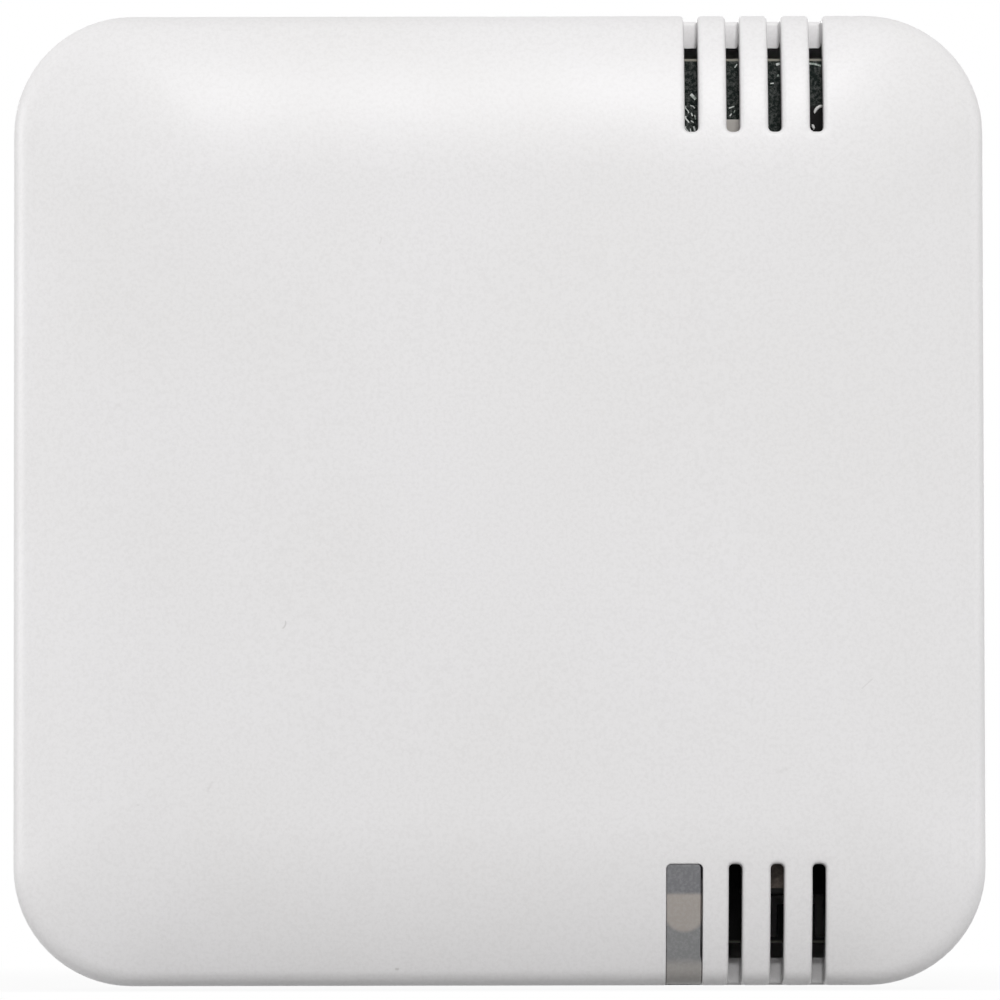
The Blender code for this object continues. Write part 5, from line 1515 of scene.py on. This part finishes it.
# Buffer capacitor: a low drawn can with a rolled neck on a square moulded base, soldered to the board's
# front behind the lower vents. The can has a warm grey sleeve, and its lowest edge is painted near black as
# shade.
CAN_X = VENT_XS[2]
CAN_Z = -31.6 * MM
CAN_RADIUS = 3.2 * MM
CAN_GREY = (0.075, 0.062, 0.054)
CAN_TONE = (0.13, 0.108, 0.094)
CAN_PAINTED_SHADE = (0.008, 0.008, 0.008)
CAN_SHADOW_ZS = (CAN_Z - 2.6 * MM, CAN_Z - 2.7 * MM)
low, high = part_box("buffer_capacitor")
front_y, foot_y = low[1], high[1]
edge = CAN_RADIUS / 8  # round of the can's top, and half the height of its neck
can_profile = [(CAN_RADIUS - a, front_y + b) for a, b in bow(edge, 6)]
for share in np.linspace(0, 1, 9):
    neck = edge / 4 * (1 - math.cos(2 * math.pi * share))
    can_profile.append((CAN_RADIUS - neck, foot_y - 3 * edge + 2 * edge * share))
can_profile.append((CAN_RADIUS, foot_y))
can = Skin()
turned(can, can_profile, CAN_X, CAN_Z, steps=64)
can_aluminium, tree, shader = finish("can_aluminium", CAN_GREY, 0.45)
shader.inputs["Specular IOR Level"].default_value = 0.15
place = object_place(tree)
worn = use_group(tree, metal_group, Place=place, Scale=2600.0)
# Painted shade: the can turns near black below a line 2.6 to 2.7 mm under its middle
painted_shade_below = ramp(tree, axes(tree, place)["Z"], *CAN_SHADOW_ZS)
colour = blend_colour(tree, ramp(tree, worn["Tone"], 0.35, 0.65), CAN_GREY, CAN_TONE)
colour = blend_colour(tree, painted_shade_below, colour, CAN_PAINTED_SHADE)
gloss = ramp(tree, worn["Tone"], *TONE_SPAN, 0.42, 0.6)
dress(tree, shader, colour, gloss, worn["Height"], 0.01 * MM, 0.25)
piece = can.piece("sleeved_can", can_aluminium, smooth=40)
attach(piece, "root")
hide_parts("buffer_capacitor")

# Moulded parts: chips in black epoxy with a dimple at their first pin, and the capacitor's base. They are
# moulded round their lead frames and soldered to the board.
DIMPLE_RADIUS = 0.22 * MM
DIMPLE_SOFT = 0.05 * MM
DIMPLE_DEPTH = 0.06 * MM
DIMPLE_INSET = 0.2
EPOXY_BLACK = (0.008, 0.008, 0.008)
EPOXY_TONE = (0.014, 0.013, 0.013)
black_epoxy, tree, shader = moulded("black_epoxy", EPOXY_BLACK, EPOXY_TONE, 0.5, 5200.0, 0.02 * MM)
place = tree.nodes["Texture Coordinate"].outputs["Object"]
shader.inputs["Specular IOR Level"].default_value = 0.1
dimples = []
for node in ("voltage_monitor", *BACK_CHIPS):
    low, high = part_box(node)
    inset = DIMPLE_INSET * (high[2] - low[2])
    middle = (low[0] + inset, low[1], high[2] - inset)
    spot = use_group(tree, spot_group, Place=place, Middle=middle, Radius=DIMPLE_RADIUS, Soft=DIMPLE_SOFT)
    dimples.append(spot["Mask"])
bump(tree, tree.nodes["Bump"], joined(tree, "MAXIMUM", dimples), -DIMPLE_DEPTH)
paint(black_epoxy, "voltage_monitor", "humidity_sensor", "capacitor_base", *BACK_CHIPS)

# Ceramic and ferrite parts: the two small capacitors, the filter inductor and the power inductor. They are
# pressed and fired blocks, matt with a fine grain, soldered at both ends.
FERRITE_GREY = (0.060, 0.060, 0.064)
FERRITE_TONE = (0.045, 0.045, 0.050)
ceramic = moulded("ceramic", (0.56, 0.53, 0.49), (0.50, 0.47, 0.44), 0.5, 4200.0, 0.02 * MM)[0]
dark_ferrite = moulded("dark_ferrite", FERRITE_GREY, FERRITE_TONE, 0.6, 3600.0, 0.04 * MM)[0]
paint(ceramic, "filter_inductor", "bypass_capacitor_1", "bypass_capacitor_2")
paint(dark_ferrite, "power_inductor")

# Light parts: the light sensor's domed body of beige diffusing resin, and the lamp's yellowish lens. Both
# are cast on small frames and stand on the board behind the window.
eye_resin = moulded("eye_resin", (0.50, 0.46, 0.40), (0.46, 0.42, 0.36), 0.38, 3000.0, 0.01 * MM)[0]
lens = moulded("lens", (0.60, 0.58, 0.52), (0.56, 0.53, 0.44), 0.2, 2600.0, 0.005 * MM)[0]
paint(eye_resin, "light_sensor")
paint(lens, "status_led")

# Radio: a small laminate under a green solder mask, with its parts in a pressed tinned can. The laminate is
# soldered to the board's back, and the clock crystal beside it has a tinned can too.
MODULE_GREEN = (0.010, 0.050, 0.030)
MODULE_TONE = (0.016, 0.075, 0.045)
module_laminate, tree, shader = finish("module_laminate", MODULE_GREEN, 0.35)
grain = use_group(tree, grain_group, Place=object_place(tree), Pits=2600.0, Tone=900.0)
colour = blend_colour(tree, ramp(tree, grain["Tone"], 0.35, 0.6), MODULE_GREEN, MODULE_TONE)
tree.links.new(colour, shader.inputs["Base Color"])
bump(tree, shader, grain["Height"], 0.03 * MM, 0.4)
paint(module_laminate, "radio_module")
paint(tinned_steel, "radio_shield", "clock_crystal")

# Aerial: a spring-wound coil of tinned steel wire. It lies along the board's upper edge and stands on one
# straight leg, which is soldered beside the radio.
AERIAL_START = -27.7 * MM
AERIAL_Z = 28.615 * MM
AERIAL_RADIUS = 2.6 * MM
AERIAL_WIRE = 0.8 * MM
AERIAL_PITCH = 2.3 * MM
AERIAL_TURNS = 9
AERIAL_SOLDER = 0.1 * MM
foot_y = BOARD_BACK_Y + AERIAL_SOLDER
coil_y = foot_y + AERIAL_RADIUS + AERIAL_WIRE
share = np.linspace(0, 1, 32 * AERIAL_TURNS + 1)
angle = 2 * math.pi * AERIAL_TURNS * share
coil = np.stack(
    [
        AERIAL_START + AERIAL_PITCH * AERIAL_TURNS * share,
        coil_y - AERIAL_RADIUS * np.sin(angle),
        AERIAL_Z + AERIAL_RADIUS * np.cos(angle),
    ],
    axis=-1,
)
wound = Skin()
tube(wound, coil, AERIAL_WIRE / 2)
leg = [(AERIAL_START, y, AERIAL_Z + AERIAL_RADIUS) for y in (foot_y, coil_y / 2 + foot_y / 2, coil_y)]
tube(wound, leg, AERIAL_WIRE / 2)
piece = wound.piece("wound_aerial", tinned_steel, smooth=60)
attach(piece, "root")
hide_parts("aerial")

# Solder: bright tin fillets at the ends of the two-ended parts, with their plated ends, and the chips' bent
# leads of tinned copper. All stand on the board, where the solder was melted under each part.
FILLET_REACH = 0.45 * MM
FILLET_CLIMB = 0.55
FILLET_INSET = 0.06
JOINT_DEPTH = 0.1 * MM
END_SHARE = 0.2
END_SKIN = 0.02 * MM
LEAD_HALF = 0.14 * MM
LEAD_CLIMB = 0.45
LEAD_THICKNESS = 0.13 * MM
# How far out from the chip's side a lead's eight corners lie, first along its upper face and then back
LEAD_BENDS = np.array([-0.1, 0.15, 0.3, 0.55, 0.55, 0.2, 0.08, -0.1]) * MM
solder = Skin()


def on_board(low, high):
    """y of the board's face that a part stands on, and y of the part's top."""
    front = high[1] < BOARD_FRONT_Y
    return (BOARD_FRONT_Y, low[1]) if front else (BOARD_BACK_Y, high[1])


for node in ("filter_inductor", "bypass_capacitor_1", "bypass_capacitor_2", "status_led", "power_inductor"):
    low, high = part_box(node)
    foot, top = on_board(low, high)
    climb = FILLET_CLIMB * (top - foot)
    width = high[2] - low[2]
    for way, end in ((-1, low[0]), (1, high[0])):
        curve = [(end + way * FILLET_REACH * a, foot + climb * b) for a, b in bow(1.0, 6)]
        inner_x = end - way * JOINT_DEPTH
        outline = [(inner_x, foot), *curve, (inner_x, foot + climb)]
        levels = (low[2] + FILLET_INSET * width, high[2] - FILLET_INSET * width)
        bar(solder, [[(x, y, z) for x, y in outline] for z in levels])
        inner_x = end - way * END_SHARE * (high[0] - low[0])
        outer_x = end + way * END_SKIN
        cap_y = top + math.copysign(END_SKIN, top - foot)
        outline = [(inner_x, foot), (outer_x, foot), (outer_x, cap_y), (inner_x, cap_y)]
        levels = (low[2] - END_SKIN, high[2] + END_SKIN)
        bar(solder, [[(x, y, z) for x, y in outline] for z in levels])
for node, count, ways in (
    ("voltage_monitor", 3, (-1,)),
    ("voltage_regulator", 3, (-1, 1)),
    ("tag_chip", 4, (-1, 1)),
    ("memory_chip", 4, (-1, 1)),
    ("processor", 9, (-1, 1)),
):
    low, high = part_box(node)
    foot, top = on_board(low, high)
    rise = foot + LEAD_CLIMB * (top - foot)
    thick = math.copysign(LEAD_THICKNESS, top - foot)
    upper_ys = (rise, rise, foot + thick, foot + thick)
    lower_ys = (foot, foot, rise - thick, rise - thick)
    for number in range(count):
        x = low[0] + (number + 1) * (high[0] - low[0]) / (count + 1)
        for way in ways:
            end = high[2] if way > 0 else low[2]
            bend = [(end + way * out, y) for out, y in zip(LEAD_BENDS, upper_ys + lower_ys)]
            bar(solder, [[(x + side, y, z) for z, y in bend] for side in (-LEAD_HALF, LEAD_HALF)])
solder_bright = plated("solder_bright", (0.78, 0.78, 0.76), (0.66, 0.66, 0.65), 0.2, 2000.0)
piece = solder.piece("solder_and_leads", solder_bright)
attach(piece, "root")

# Beads: two half-round white strips on the part behind the fourth upper vent, drawn out to thin ends. They
# are painted glints: their white stands for light glinting on the part's moulded top.
BEAD_RISE = 0.12 * MM
GLINT_BEAD_WHITE = (0.94, 0.94, 0.92)
BEAD_TONE = (0.88, 0.88, 0.86)
BEAD_SUNK = 0.01 * MM
# x, z, radius and width in millimetres, and the start and end of each arc in degrees
BEAD_ARCS = ((28.75, 34.0, 0.8, 0.3, 88, 172), (27.2, 32.7, 0.7, 0.26, 0, 40))


def arc(x, z, radius, start, end, steps=10):
    """Points (x, z) of an arc, with start and end in degrees, anticlockwise from the right."""
    angle = np.radians(np.linspace(start, end, steps + 1))
    return np.stack([x + radius * np.cos(angle), z + radius * np.sin(angle)], axis=-1)


def bead(skin, path, width, foot_y):
    """A half-round strip along a path of (x, z) points, whose width falls to its ends as a half circle."""
    fall = np.sqrt(1 - np.linspace(-0.98, 0.98, len(path)) ** 2)
    side = sideways(path, width) * fall[:, None]
    rings = []
    for angle in np.linspace(0, math.pi, 7):
        flat = path + side * math.cos(angle)
        y = foot_y - BEAD_RISE * math.sin(angle) * fall
        rings.append(np.stack([flat[:, 0], y, flat[:, 1]], axis=-1))
    bar(skin, np.stack(rings, axis=1))


foot_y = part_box("voltage_monitor")[0][1] + BEAD_SUNK
beads = Skin()
for x, z, radius, width, start, end in BEAD_ARCS:
    bead(beads, arc(x * MM, z * MM, radius * MM, start, end), width * MM, foot_y)
# Painted glint: a plain bright white, not a reflection
painted_glint_white = moulded("painted_glint_white", GLINT_BEAD_WHITE, BEAD_TONE, 0.3, 5000.0, 0.01 * MM)[0]
piece = beads.piece("painted_glint_beads", painted_glint_white)
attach(piece, "root")

low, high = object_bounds()
{"cad": [list(corner) for corner in cad_box], "visual": [list(low), list(high)]}
